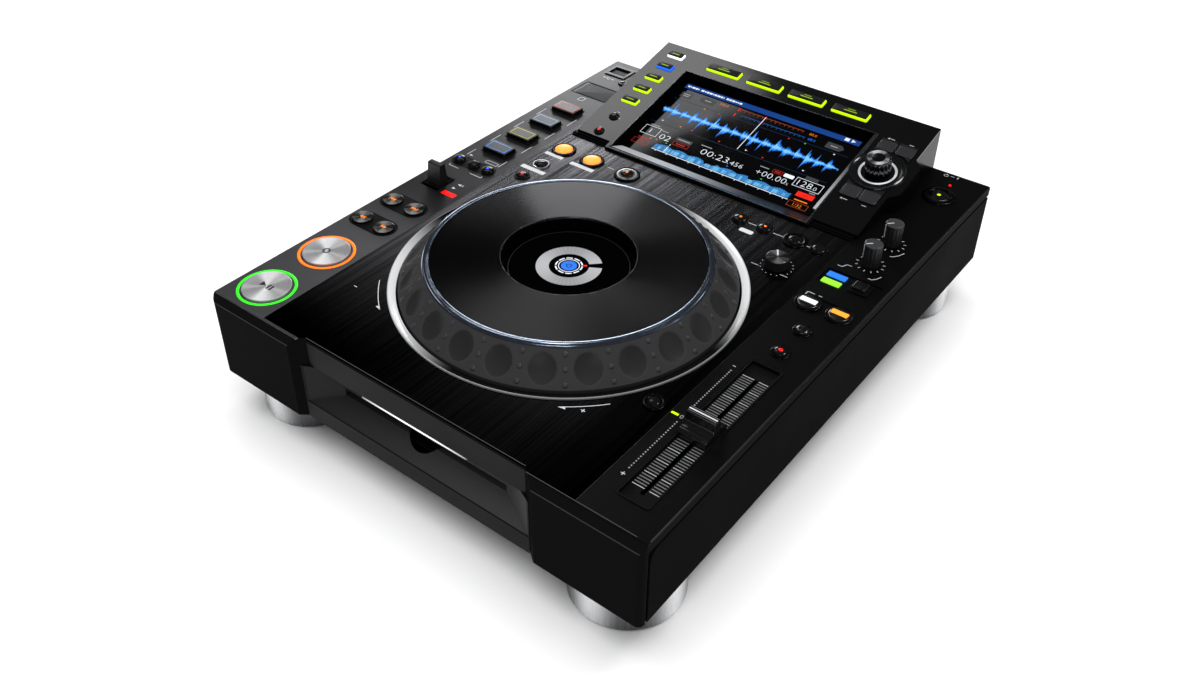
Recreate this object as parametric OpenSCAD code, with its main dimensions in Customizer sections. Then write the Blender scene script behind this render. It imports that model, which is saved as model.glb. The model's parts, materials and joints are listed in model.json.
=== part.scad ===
/* [Case] */
// Width of the case over its side panels
case_w = 320; // [316:1:340]
// Depth of the flat top of the deck
deck_d = 403.5; // [402:0.5:430]
// Height of the case between the feet and the deck
case_h = 59; // [58:0.5:70]
// How far the front blocks stand out before the deck's front edge
nose_d = 4; // [3:0.5:6]
// Height of the sloped edge along the top of the front blocks
nose_slope_h = 5.5; // [3:0.5:8]
// Radius of the upright front corners
corner_r = 4; // [2:0.5:5]
// Thickness of the moulded deck
deck_t = 3; // [2.6:0.1:4]
// Thickness of the walls of the top case
wall_t = 2.6; // [2:0.1:3]
// Height of the rim around the deck
rim_h = 6.5; // [4:0.5:10]
// Bevel along the deck's side edges
edge_bevel = 0.8; // [0.3:0.1:1.2]
// Width of the seam between the top case and the side panels
seam_w = 2; // [1:0.25:3]
// Sheet thickness of the lower chassis
sheet_t = 1.4; // [1:0.1:2]
// Play between pieces of the case that slide together
case_gap = 0.2; // [0.1:0.05:0.4]
// Width of the strip of controls on the left
left_zone_w = 44.5; // [42:0.5:45.5]
// Width of the strip of controls on the right
right_zone_w = 44; // [42:0.5:45.5]
// Thickness of the brushed plate between the strips
plate_t = 1.2; // [0.8:0.1:1.6]

/* [Feet] */
// Height of the feet
foot_h = 28; // [20:1:40]
// Radius of the feet
foot_r = 33; // [24:1:34]
// Distance from the sides of the case to the foot centres
foot_in_x = 36; // [35:1:50]
// Distance from the deck's front edge to the front foot centres
foot_in_front = 35; // [34:1:55]
// Distance from the deck's back edge to the back foot centres
foot_in_back = 35; // [34:1:48]
// Thickness of the rubber pads under the feet
pad_t = 3; // [2:0.5:5]

/* [Jog wheel] */
// Distance from the deck's front edge to the jog wheel's axis
jog_y = 140.6; // [138:0.2:143]
// Outer radius of the trim ring around the jog wheel
trim_r = 110; // [108:0.5:111]
// Inner radius of the trim ring
trim_in_r = 104.8; // [104.6:0.1:105.4]
// Radius of the jog wheel at its foot
jog_r = 103.5; // [101:0.25:103.75]
// Radius of the jog wheel's polished shoulder
jog_top_r = 88; // [84:0.5:90]
// Height of the jog wheel above the deck
jog_h = 19; // [17:0.5:23]
// Thickness of the jog wheel's top plate
jog_plate_t = 1.8; // [1.4:0.1:2.2]
// Radius of the window in the top plate
jog_window_r = 40.7; // [38:0.1:44]
// Play between the fixed display in the wheel and the window's wall
jog_window_gap = 0.9; // [0.6:0.1:1.5]
// Depth of that display below the top plate
jog_disp_drop = 9; // [8:0.5:10]
// Number of finger dimples around the jog wheel
dimple_n = 24; // [18:1:24]
// Radius of one finger dimple at the surface
dimple_r = 8.2; // [6:0.2:8.4]
// Depth of a finger dimple
dimple_depth = 1.2; // [0.6:0.1:1.4]
// Radius of the fixed post that carries the wheel
post_r = 24; // [20:0.5:28]
// Running clearance of the wheel on its post
jog_clear = 0.05; // [0.03:0.01:0.1]
// Travel of the top plate when it is pressed
jog_press = 0.6; // [0.3:0.1:0.6]

/* [Display unit] */
// Tilt of the display unit's top
disp_tilt = 13.4; // [12:0.2:15]
// Distance of the display unit's front edge from the deck's back edge
disp_d = 115.4; // [114:0.2:119]
// Height of the display unit's front edge above the deck
disp_lip = 3.2; // [3:0.2:5]
// Left edge of the display unit, from the centre of the case
disp_left = 110; // [109:0.5:111]
// Right edge of the display unit, from the centre of the case
disp_right = 118; // [117.5:0.5:119]
// How far the side bulges out beside the selector
disp_bulge = 6; // [3:0.5:7]
// Wall thickness of the display housing
disp_wall = 2.5; // [2:0.1:2.8]
// Left edge of the screen, from the centre of the case
screen_left = 77; // [74:0.5:78]
// Right edge of the screen, from the centre of the case
screen_right = 83; // [80:0.5:83.5]
// Distance of the screen's lower edge from the display unit's front edge
screen_v0 = 8.2; // [7:0.2:10]
// Length of the screen up the slope
screen_len = 85.3; // [80:0.1:86]
// Depth of the screen below the display unit's top
screen_drop = 9; // [7:0.5:9.5]
// Height of the keys on the display unit
key_rise = 1.4; // [0.8:0.1:2]
// Width of a browse key
browse_w = 28; // [24:0.5:31]
// Depth of a browse key
browse_d = 8; // [6:0.5:8.5]
// Width of a source key
source_w = 13.5; // [11:0.5:15]
// Depth of a source key
source_d = 6.5; // [5:0.5:8]

/* [Round buttons] */
// Play between a button and its hole
btn_gap = 0.4; // [0.3:0.05:0.5]
// Travel of the small buttons
btn_travel = 0.8; // [0.5:0.1:1]
// Height of the small buttons above the deck
btn_rise = 1.2; // [1:0.1:2]
// Travel of the play and cue buttons
play_travel = 1.2; // [0.8:0.1:1.4]
// Radius of the play and cue buttons
play_r = 15; // [13:0.5:15.5]
// Outer radius of their light rings
play_ring_r = 18.2; // [17.8:0.1:18.8]
// Radial width of their light rings
play_ring_w = 1.7; // [1:0.1:1.8]
// Radius of the search and track buttons
search_r = 7; // [5:0.1:7.2]
// Radius of the loop buttons
loop_r = 6.3; // [5:0.1:7]
// Radius of the sync and master buttons
sync_r = 6.8; // [5:0.1:7.2]
// Radius of the bank buttons
bank_r = 4.4; // [3.4:0.1:4.6]
// Radius of the call, delete and memory buttons
call_r = 4.8; // [3.6:0.1:5]
// Radius of the small lamp buttons
lamp_r = 4.2; // [3:0.1:4.6]
// Radius of the disc eject button
eject_r = 7.4; // [6:0.1:8]
// Radius of the tempo reset button
reset_r = 3.6; // [3:0.1:4.2]
// Side of the square jog mode button
mode_w = 8; // [6:0.5:9]
// Height of the bright collars around buttons
trim_h = 0.9; // [0.5:0.1:1.2]

/* [Pads] */
// Width of a hot cue pad
pad_w = 21; // [18:0.5:22]
// Depth of a hot cue pad
pad_d = 12.6; // [11:0.2:14]
// Height of a hot cue pad above the deck
pad_rise = 3; // [2:0.2:4]
// Distance between neighbouring hot cue pads
pad_pitch = 26.1; // [24:0.1:27]
// Radius of the pads' corners
pad_corner = 0.8; // [0.5:0.1:1.5]

/* [Knobs and lever] */
// Radius of the tall speed knobs
knob_r = 5.85; // [5:0.05:7]
// Height of the tall speed knobs above the deck
knob_h = 15.5; // [12:0.5:18]
// Number of ribs around a knob
knob_ribs = 16; // [12:1:20]
// Radius of the jog adjust knob
adjust_r = 7.6; // [6:0.1:8.5]
// Height of the jog adjust knob above the deck
adjust_h = 7; // [5:0.5:9]
// Radius of the selector knob
selector_r = 8.5; // [7:0.1:9]
// Height of the selector knob above the display unit
selector_h = 12; // [9:0.5:14]
// Radius of the dish around the selector knob
selector_dish_r = 19; // [17:0.5:19.5]
// Push travel of the selector knob
selector_travel = 0.8; // [0.5:0.1:1]
// Radius of the knobs' shafts
shaft_r = 3; // [2.5:0.1:3.2]
// Running clearance of the shafts
shaft_clear = 0.05; // [0.03:0.01:0.1]
// Height of the direction lever above the deck
lever_h = 15; // [12:0.5:18]
// Width of the direction lever
lever_w = 11.4; // [9:0.2:12]
// Tilt of the direction lever to each side
lever_tilt = 12; // [6:1:14]

/* [Tempo slider] */
// Travel of the tempo slider
tempo_travel = 100; // [80:1:100]
// Width of the tempo slider's track
track_w = 20.5; // [20.5:0.5:23]
// Length of the tempo slider's track
track_len = 128.2; // [128.2:0.2:132]
// Depth of the track below the deck
track_drop = 2; // [1.2:0.2:2]
// Width of the slot in the track
tempo_slot_w = 2.6; // [2.2:0.2:4]
// Width of the tempo slider's cap
fader_w = 17.5; // [15:0.5:17.5]
// Length of the tempo slider's cap
fader_len = 20.6; // [18:0.2:20.6]
// Height of the tempo slider's cap above the deck
fader_h = 12; // [10:0.5:14]

/* [Disc slot] */
// Width of the notch between the front blocks at its mouth
notch_w = 183; // [180:1:186]
// Width of the front fascia over the disc slot
fascia_w = 164; // [160:1:168]
// Height of the front fascia
fascia_h = 20; // [16:0.5:22]
// Distance of the fascia behind the deck's front edge
fascia_back = 3; // [2.6:0.2:4]
// Width of the disc slot
disc_slot_w = 124; // [122:0.5:126]
// Height of the disc slot
disc_slot_h = 5; // [4.8:0.1:6]
// Height of the disc slot above the floor of the case
disc_slot_z = 22; // [22:0.5:24]
// Height of the shelf's front edge above the floor of the case
shelf_front_h = 12; // [8:0.5:14]
// Height of the shelf's back edge above the floor of the case
shelf_back_h = 21.5; // [19:0.5:21.5]
// Distance from the shelf's front edge to its back edge
shelf_d = 10.5; // [9:0.5:10.5]
// Radius of the finger notch in the shelf
finger_r = 13.9; // [10:0.1:16]
// Depth of the finger notch
finger_d = 4.5; // [3:0.5:6]

/* [Back] */
// How far the jacks stand out behind the case
jack_out = 10.5; // [8:0.5:14]
// Outer radius of a phono jack
jack_r = 4.15; // [4:0.05:4.3]
// Width of the mains inlet's opening
inlet_w = 24.4; // [24:0.1:25]
// Height of the mains inlet's opening
inlet_h = 16.6; // [16.2:0.1:17.2]
// Width of the power button
power_w = 12; // [10:0.5:16]
// Travel of the power button
power_travel = 2.5; // [1.5:0.5:3]

/* [Drive] */
// Radius of the drive's feed roller
roller_r = 3.5; // [2.5:0.1:3.8]
// Radius of the drive's turntable
turntable_r = 13; // [10:0.5:13]
// Travel of the laser pickup
pickup_travel = 34; // [30:1:36]

/* [Hidden] */
$fn = 64;

// Main levels and edges
eps = 0.01;
kx = case_w / 320;
ky = deck_d / 403.5;
km = min(kx, ky);
g_trim_r = trim_r * km;
g_trim_in_r = trim_in_r * km;
g_jog_r = jog_r * km;
g_jog_top_r = jog_top_r * km;
g_jog_window_r = jog_window_r * km;
g_dimple_r = dimple_r * km;
g_post_r = post_r * km;
g_disp_left = disp_left * kx;
g_disp_right = disp_right * kx;
g_screen_left = g_disp_left - (disp_left - screen_left);
g_screen_right = g_disp_right - (disp_right - screen_right);
g_browse_w = browse_w * kx;
g_disp_d = disp_d * ky;
g_screen_len = screen_len * ky;
g_track_len = track_len * ky;
g_tempo_travel = tempo_travel * ky;
g_pad_pitch = pad_pitch * ky;
hw = case_w / 2;
floor_z = foot_h;
deck_z = foot_h + case_h;
under = deck_z - deck_t;
total_d = nose_d + deck_d + jack_out;
yf = nose_d - total_d / 2;
yb = yf + deck_d;
yn = yf - nose_d;
plate_l = left_zone_w - hw;
plate_r = hw - right_zone_w;
skirt_x = hw - sheet_t - case_gap;
panel_top = deck_z - rim_h - seam_w;
block_back = yf + 11;
board_z = under - 12;
stem_r = 1.6;
flange_t = 1.4;
flange_w = 1.2;
seat = 0.05;
layer_gap = 0.02;

// Jog wheel levels
jy = yf + jog_y * ky;
pan_z = deck_z - 13;
pan_r = g_trim_in_r + 6;
disc_top = deck_z + jog_h - jog_disp_drop;
plate_r_out = g_jog_top_r - 4.5;
hub_r = g_post_r + jog_clear;
cone_dr = g_jog_r - g_jog_top_r;
cone_dz = jog_h - 2.5;
cone_l = sqrt(cone_dr * cone_dr + cone_dz * cone_dz);
dimple_R = (g_dimple_r * g_dimple_r + dimple_depth * dimple_depth) / (2 * dimple_depth);

// Display unit
dy = yb - g_disp_d;
sv1 = screen_v0 + g_screen_len;
slope_len = g_disp_d / cos(disp_tilt);
tab_l = g_screen_left + 3;
tab_r = g_screen_right + 3;
tab_d = 6.2;
sel_x = g_disp_right - 17.5;
sel_v = slope_len - 58.1 * ky;
src_x = 16 - g_disp_left;
key_v = slope_len - 12.5;

// Columns and rows of the controls
lc = 22.5 - hw;
lc1 = 11.2 - hw;
lc2 = 31 - hw;
play_y = yf + 21.3;
cue_y = yf + 68.7 * ky;
search_y = yf + 109.9 * ky;
track_y = yf + 137.6 * ky;
lever_x = 17.4 - hw;
lever_y = yf + 174 * ky;
bank_y = yf + 205.3 * ky;
pad_y = yf + 231.8 * ky;
door_y = yb - 55.2;
stop_y = yb - 30.6;
usb_x = 15.2 - hw;
usb_y = yb - 16;
loop_y = dy - 26.4;
rc = hw - 22.6;
mode_x = hw - 15.9;
mode_y = yf + 242.4 * ky;
sync_y = yf + 209.4 * ky;
range_y = yf + 183.7 * ky;
mt_y = yf + 159.1 * ky;
trk_x = hw - 22.3;
trk_y = yf + 16.6 + g_track_len / 2;
tempo_y = trk_y - 2;
eject_y = yb - 34.5;
brake_y = yf + 297.5 * ky;
start_y = yf + 268.5 * ky;
adjust_x = plate_r - 23.5;
adjust_y = jy + 90.4 * km;
reset_x = plate_r - 10.5;
reset_y = jy - 59.5 * km;
post_y1 = yf + 85;
post_y2 = yb - 76.5;
post_x = hw - 7.5;

// Disc slot and drive
sz = floor_z + disc_slot_z;
ya = yf + fascia_back;
ys0 = yf - 0.5;
ys1 = ys0 + shelf_d;
fas_z = deck_z - fascia_h;
back_hw = disc_slot_w / 2 + 0.6;
dcy = ys1 + 67;
drv_y0 = ys1 + 5.2;
drv_y1 = dcy + 75;
drv_z = floor_z + 10;

// Box from its six faces
module bx(x0, x1, y0, y1, z0, z1) {
    translate([x0, y0, z0])
    cube([x1 - x0, y1 - y0, z1 - z0]);
}

// Upright cylinder from its centre and two levels
module cyl(x, y, r, z0, z1) {
    translate([x, y, z0])
    cylinder(r = r, h = z1 - z0);
}

// Upright ring
module ring(x, y, ri, ro, z0, z1) {
    difference() {
        cyl(x, y, ro, z0, z1);
        cyl(x, y, ri, z0 - 1, z1 + 1);
    }
}

// Box with rounded upright edges, from its centre and size
module rbx(x, y, w, d, r, z0, z1) {
    bx(x - w / 2 + r, x + w / 2 - r, y - d / 2, y + d / 2, z0, z1);
    bx(x - w / 2, x + w / 2, y - d / 2 + r, y + d / 2 - r, z0, z1);
    for (a = [-1, 1]) {
        for (b = [-1, 1]) {
            cyl(x + a * (w / 2 - r), y + b * (d / 2 - r), r, z0, z1);
        }
    }
}

// Round-ended recess along X
module pill(x0, x1, y, r, z0, z1) {
    bx(x0, x1, y - r, y + r, z0, z1);
    cyl(x0, y, r, z0, z1);
    cyl(x1, y, r, z0, z1);
}

// Profile in Y and Z drawn out along X
module along_x(x0, x1, pts) {
    translate([x0, 0, 0])
    rotate([90, 0, 90])
    linear_extrude(height = x1 - x0)
    polygon(pts);
}

// Turned button with a chamfered cap, a flange under the deck and a stem
module button(x, y, r, rise, travel) {
    zb = board_z + travel + 0.15;
    zf = under - seat - flange_t;
    zt = deck_z + rise;
    translate([x, y, 0])
    rotate_extrude()
    polygon([[0, zb], [stem_r, zb], [stem_r, zf], [r + flange_w, zf], [r + flange_w, under - seat],
             [r, under - seat], [r, zt - 0.4], [r - 0.4, zt], [0, zt]]);
}

// Knob body with ribs, standing on the deck
module ribbed(x, y, r, z0, z1, n) {
    translate([x, y, z0])
    rotate_extrude()
    polygon([[0, 0], [r - 0.3, 0], [r - 0.3, z1 - z0 - 0.8], [r - 1.1, z1 - z0], [0, z1 - z0]]);
    for (i = [0:n - 1]) {
        translate([x, y, z0])
        rotate([0, 0, i * 360 / n])
        translate([r - 0.55, 0, 0])
        cylinder(r = 0.55, h = z1 - z0 - 1.2);
    }
}

// Shaft of a knob with a flange under the deck
module deck_shaft(x, y) {
    cyl(x, y, shaft_r, under - 7, deck_z + 1);
    cyl(x, y, shaft_r + 1.5, under - 1.6, under - seat);
}

// Moves its children onto the display unit's sloped top
module on_slope() {
    translate([0, dy, deck_z + disp_lip])
    rotate([disp_tilt, 0, 0])
    children();
}

// Notch between the front blocks
module notch(z0, z1) {
    k = (notch_w - fascia_w) / 2 / (nose_d + fascia_back);
    translate([0, 0, z0])
    linear_extrude(height = z1 - z0)
    polygon([[-fascia_w / 2, ya], [-notch_w / 2 - k, yn - 1], [notch_w / 2 + k, yn - 1],
             [fascia_w / 2, ya]]);
}

// Outline of the deck as a prism, with the notch cut out
module plan(z0, z1) {
    difference() {
        union() {
            bx(-hw, hw, yn + corner_r, yb, z0, z1);
            bx(corner_r - hw, hw - corner_r, yn, yn + corner_r + 1, z0, z1);
            cyl(corner_r - hw, yn + corner_r, corner_r, z0, z1);
            cyl(hw - corner_r, yn + corner_r, corner_r, z0, z1);
        }
        notch(z0 - 1, z1 + 1);
    }
}

// Hole for a round button
module bh(x, y, r) {
    cyl(x, y, r + btn_gap, under - 1, deck_z + 1);
}

// All openings of the centre plate and of the deck below it
module centre_holes() {
    cyl(0, jy, g_trim_in_r + 1.5, under - 1, deck_z + 1);
    bh(plate_l + 13.9, loop_y, loop_r);
    bh(plate_l + 39.4, loop_y, loop_r);
    bh(plate_l + 70.1, loop_y, loop_r);
    bh(plate_l + 14.4, jy + 94.7 * ky, lamp_r);
    bh(plate_l + 13.9, jy + 74.9 * ky, lamp_r);
    bh(plate_r - 69.3, loop_y + 0.8, call_r);
    bh(plate_r - 50.7, loop_y + 0.8, call_r);
    bh(plate_r - 28.4, loop_y + 0.8, call_r);
    bh(plate_r - 11.2, loop_y + 0.8, call_r);
    bh(reset_x, reset_y, reset_r);
    cyl(adjust_x, adjust_y, shaft_r + shaft_clear, under - 1, deck_z + 1);
    bx(-tab_l + 1, tab_r - 1, dy - 5.2, yb - 12, under - 1, deck_z + 1);
    cyl(src_x, dy + 5.4 * cos(disp_tilt), 6.5, under - 1, deck_z + 1);
    bx(src_x - 9, src_x + 9, dy + (key_v - 61.2 * ky) * cos(disp_tilt) - 3.71, yb - 6, under - 1,
       deck_z + 1);
    bx(sel_x - 14, sel_x + 12, dy + 28 * ky, yb - 24, under - 1, deck_z + 1);
}

// All openings of the two side strips
module strip_holes() {
    bh(lc, play_y, play_r);
    bh(lc, cue_y, play_r);
    bh(lc1, search_y, search_r);
    bh(lc2, search_y, search_r);
    bh(lc1, track_y, search_r);
    bh(lc2, track_y, search_r);
    bx(lever_x - 8.15, lever_x + 8.15, lever_y - 9.1, lever_y + 9.1, under - 1, deck_z + 1);
    bh(9 - hw, bank_y, bank_r);
    bh(22.5 - hw, bank_y, bank_r);
    bh(35.4 - hw, bank_y, bank_r);
    for (i = [0:3]) {
        rbx(lc + 0.1, pad_y + i * g_pad_pitch, pad_w + 2 * btn_gap, pad_d + 2 * btn_gap,
            pad_corner + btn_gap, under - 1, deck_z + 1);
    }
    bx(lc - 13.2, lc + 13.2, door_y - 8.6, door_y + 7.4, under - 1, deck_z + 1);
    bx(lc - 14.3, lc + 14.3, door_y - 10.2, door_y + 10.2, deck_z - 2, deck_z + 1);
    bh(6 + lc, stop_y, lamp_r - 0.6);
    bx(usb_x - 7.6, usb_x + 7.6, usb_y - 5.6, usb_y + 5.6, under - 1, deck_z + 1);
    bh(rc, eject_y, eject_r);
    cyl(rc, brake_y, shaft_r + shaft_clear, under - 1, deck_z + 1);
    cyl(rc, start_y, shaft_r + shaft_clear, under - 1, deck_z + 1);
    rbx(mode_x, mode_y, mode_w + 2 * btn_gap, mode_w + 2 * btn_gap, 1, under - 1, deck_z + 1);
    bh(hw - 33.5, sync_y, sync_r);
    bh(hw - 12.9, sync_y, sync_r);
    bh(rc - 0.3, range_y, lamp_r);
    bh(rc - 0.3, mt_y, lamp_r);
    rbx(trk_x, trk_y, track_w + 0.2, g_track_len + 0.2, 2.1, under - 1, deck_z + 1);
}

// Shallow recesses in the side strips
module strip_recesses() {
    z = deck_z - 0.8;
    pill(lc1, lc2, search_y, search_r + 1.5, z, deck_z + 1);
    pill(lc1, lc2, track_y, search_r + 1.5, z, deck_z + 1);
    pill(9 - hw, 35.4 - hw, bank_y, bank_r + 1.4, z, deck_z + 1);
    pill(hw - 33.5, hw - 12.9, sync_y, sync_r + 1.5, z, deck_z + 1);
    rbx(rc + 0.1, mode_y - 1, 38.1, 17.2, 3, z, deck_z + 1);
    ring(lc, play_y, play_ring_r - play_ring_w - 0.05, play_ring_r + 0.05, deck_z - 1.2, deck_z + 1);
    ring(lc, cue_y, play_ring_r - play_ring_w - 0.05, play_ring_r + 0.05, deck_z - 1.2, deck_z + 1);
}

module top_case() {
    color([0.1, 0.1, 0.11])
    difference() {
        union() {
            plan(under, deck_z);
            difference() {
                plan(deck_z - rim_h, under + 0.5);
                bx(wall_t - hw, hw - wall_t, yn + wall_t, yb + 1, deck_z - rim_h - 1, under + 1);
            }
            difference() {
                intersection() {
                    plan(floor_z, under + 0.5);
                    bx(-hw, hw, yn - 1, block_back, floor_z - 1, deck_z);
                }
                for (s = [0, 1]) {
                    mirror([s, 0, 0])
                    translate([0, 0, floor_z + 1.5])
                    linear_extrude(height = case_h - deck_t - 1.5)
                    polygon([[fascia_w / 2 + wall_t, block_back + 1], [fascia_w / 2 + wall_t, ya + 1.3],
                             [notch_w / 2 + 0.9, yn + wall_t], [skirt_x - 2, yn + wall_t],
                             [skirt_x - 2, block_back + 1]]);
                }
                bx(-fascia_w / 2, fascia_w / 2, ya - 0.5, block_back + 1, floor_z - 1, deck_z);
                bx(-hw - 1, -skirt_x, yf + 0.2, block_back + 1, floor_z - 1, deck_z - rim_h);
                bx(skirt_x, hw + 1, yf + 0.2, block_back + 1, floor_z - 1, deck_z - rim_h);
            }
            bx(-skirt_x, 1 - skirt_x, yf + 8, yb - 2, panel_top - 10, under + 0.5);
            bx(skirt_x - 1, skirt_x, yf + 8, yb - 2, panel_top - 10, under + 0.5);
            for (x = [-post_x, post_x]) {
                cyl(x, post_y1, 3.2, floor_z + sheet_t, under + 0.5);
                cyl(x, post_y2, 3.2, floor_z + sheet_t, under + 0.5);
            }
            for (s = [-1, 1]) {
                bx(lever_x + s * 9.4 - 0.9, lever_x + s * 9.4 + 0.9, lever_y - 4, lever_y + 4,
                   under - 9, under + 0.5);
            }
        }
        along_x(-hw - 1, hw + 1, [[yn - 1, deck_z + 1], [yn - 1, deck_z - nose_slope_h],
                                  [yn, deck_z - nose_slope_h], [yf, deck_z], [yf, deck_z + 1]]);
        bx(plate_l, plate_r, yf, yb + 1, deck_z - plate_t, deck_z + 1);
        for (s = [-1, 1]) {
            translate([s * hw, 0, deck_z])
            rotate([0, 45, 0])
            cube([edge_bevel * sqrt(2), 2 * deck_d, edge_bevel * sqrt(2)], center = true);
        }
        centre_holes();
        strip_holes();
        strip_recesses();
        for (x = [-post_x, post_x]) {
            cyl(x, post_y1, 1.55, floor_z - 1, floor_z + 16);
            cyl(x, post_y2, 1.55, floor_z - 1, floor_z + 16);
        }
        translate([lever_x - 12, lever_y, under - 6])
        rotate([0, 90, 0])
        cylinder(r = 1.5 + shaft_clear, h = 24);
        bx(lc - 14.2, lc + 14.2, door_y + 8.2, door_y + 10.2, under - 1, deck_z - 1);
        translate([lc - 15.2, door_y + 9.1, deck_z - 1])
        rotate([0, 90, 0])
        cylinder(r = 0.55, h = 30.4);
    }
}

module deck_plate() {
    color([0.25, 0.25, 0.26])
    difference() {
        bx(plate_l + 0.1, plate_r - 0.1, yf + 0.1, yb, deck_z - plate_t, deck_z);
        notch(deck_z - 3, deck_z + 1);
        centre_holes();
    }
}

module lower_chassis() {
    py = yf + 2.2;
    color([0.12, 0.12, 0.13])
    difference() {
        union() {
            bx(-hw, hw, block_back + 0.2, yb, floor_z, floor_z + sheet_t);
            for (x = [-hw, hw - sheet_t]) {
                bx(x, x + sheet_t, py, yb, floor_z, panel_top - 8);
                bx(x, x + sheet_t, py + 8, yb, floor_z, panel_top);
                translate([x, py + 8, panel_top - 8])
                rotate([0, 90, 0])
                cylinder(r = 8, h = sheet_t);
            }
        }
        bx(-fascia_w / 2 - 0.2, fascia_w / 2 + 0.2, block_back, ys1 + 5.3, floor_z - 1, floor_z + 3);
        for (x = [-post_x, post_x]) {
            cyl(x, post_y1, 1.7, floor_z - 1, floor_z + 3);
            cyl(x, post_y2, 1.7, floor_z - 1, floor_z + 3);
        }
        for (i = [0:9]) {
            bx(-63 + i * 14, -60.6 + i * 14, 40, 96, floor_z - 1, floor_z + 3);
            bx(-63 + i * 14, -60.6 + i * 14, -50, 6, floor_z - 1, floor_z + 3);
        }
    }
}

module slot_bezel() {
    zs0 = floor_z + shelf_front_h;
    zs1 = floor_z + shelf_back_h;
    zt = sz + disc_slot_h;
    yr = ys1 + 5;
    color([0.08, 0.08, 0.09])
    difference() {
        union() {
            bx(0.2 - fascia_w / 2, fascia_w / 2 - 0.2, ya, ya + 3, fas_z, under - 0.1);
            difference() {
                bx(0.2 - fascia_w / 2, fascia_w / 2 - 0.2, ys0, yr, floor_z, fas_z);
                bx(-hw, hw, ya + 6, yr + 1, fas_z - 3, fas_z + 1);
            }
            translate([0, 0, floor_z])
            linear_extrude(height = fas_z - floor_z)
            polygon([[-fascia_w / 2 + 0.2, ya], [-fascia_w / 2 - 4.2, ys0], [fascia_w / 2 + 4.2, ys0],
                     [fascia_w / 2 - 0.2, ya]]);
        }
        intersection() {
            translate([0, 0, floor_z])
            linear_extrude(height = fas_z - floor_z)
            polygon([[-back_hw, ys1], [-fascia_w / 2 - 4, ys0 - 0.01], [-fascia_w / 2 - 4, ys0 - 2],
                     [fascia_w / 2 + 4, ys0 - 2], [fascia_w / 2 + 4, ys0 - 0.01], [back_hw, ys1]]);
            along_x(-hw, hw, [[ys0 - 3, zs0], [ys0, zs0], [ys1, zs1], [ys1 + 0.01, zt],
                              [ys1 - 1.1, zt + 3.6], [ya + 3.4, zt + 8.4], [ya + 2.8, fas_z - 0.01],
                              [ya + 2.8, fas_z + 1], [ys0 - 3, fas_z + 1]]);
        }
        bx(-disc_slot_w / 2, disc_slot_w / 2, ys1 - 1, yr + 1, sz, zt);
        bx(-hw, hw, ys0 - 1, yr + 1, sz - layer_gap, sz);
        bx(-hw, hw, ys0 - 1, yr + 1, zt, zt + layer_gap);
        cyl(0, ys1 + finger_r - finger_d, finger_r, floor_z + 8, sz + 0.5);
        along_x(4 - back_hw, back_hw - 4, [[ys0 + 2.5, floor_z - 1], [ys0 + 2.5, zs0 - 2.5],
                                           [ys1 + 0.5, zs1 - 3.5], [yr + 1, zs1 - 3.5],
                                           [yr + 1, floor_z - 1]]);
    }
}

module rear_panel() {
    y0 = yb - 1.5;
    z0 = floor_z + sheet_t;
    zc = floor_z + 22;
    color([0.14, 0.14, 0.15])
    difference() {
        union() {
            bx(-skirt_x, skirt_x, y0, yb, z0, deck_z - rim_h - 0.2);
            bx(wall_t + 0.1 - hw, hw - wall_t - 0.1, y0, yb, z0, under);
        }
        bx(118 - inlet_w / 2 - 1.6, 118 + inlet_w / 2 + 1.6, y0 - 1, yb + 1, zc - inlet_h / 2 - 1.6,
           zc + inlet_h / 2 + 1.6);
        bx(80 - power_w / 2 - 0.4, 80 + power_w / 2 + 0.4, y0 - 1, yb + 1, zc - 7.4, zc + 7.4);
        bx(12, 28, y0 - 1, yb + 1, zc - 7, zc + 7);
        bx(-17, -5, y0 - 1, yb + 1, zc - 5.5, zc + 5.5);
        for (x = [-45, -78, -102]) {
            translate([x, y0 - 1, zc])
            rotate([-90, 0, 0])
            cylinder(r = 5.1, h = 4);
        }
        translate([-128, y0 - 1, zc])
        rotate([-90, 0, 0])
        cylinder(r = 4.1, h = 4);
        bx(10 - hw, 17 - hw, y0 - 1, yb + 1, zc + 14, zc + 17);
        for (i = [0:11]) {
            bx(-60 + i * 9, -57 + i * 9, y0 - 1, yb + 1, under - 14, under - 5);
        }
    }
}

// Turned piece standing out of the back, from a profile of radius and distance behind the panel
module out_back(x, z, pts) {
    translate([x, yb, z])
    rotate([-90, 0, 0])
    rotate_extrude()
    polygon(pts);
}

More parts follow.
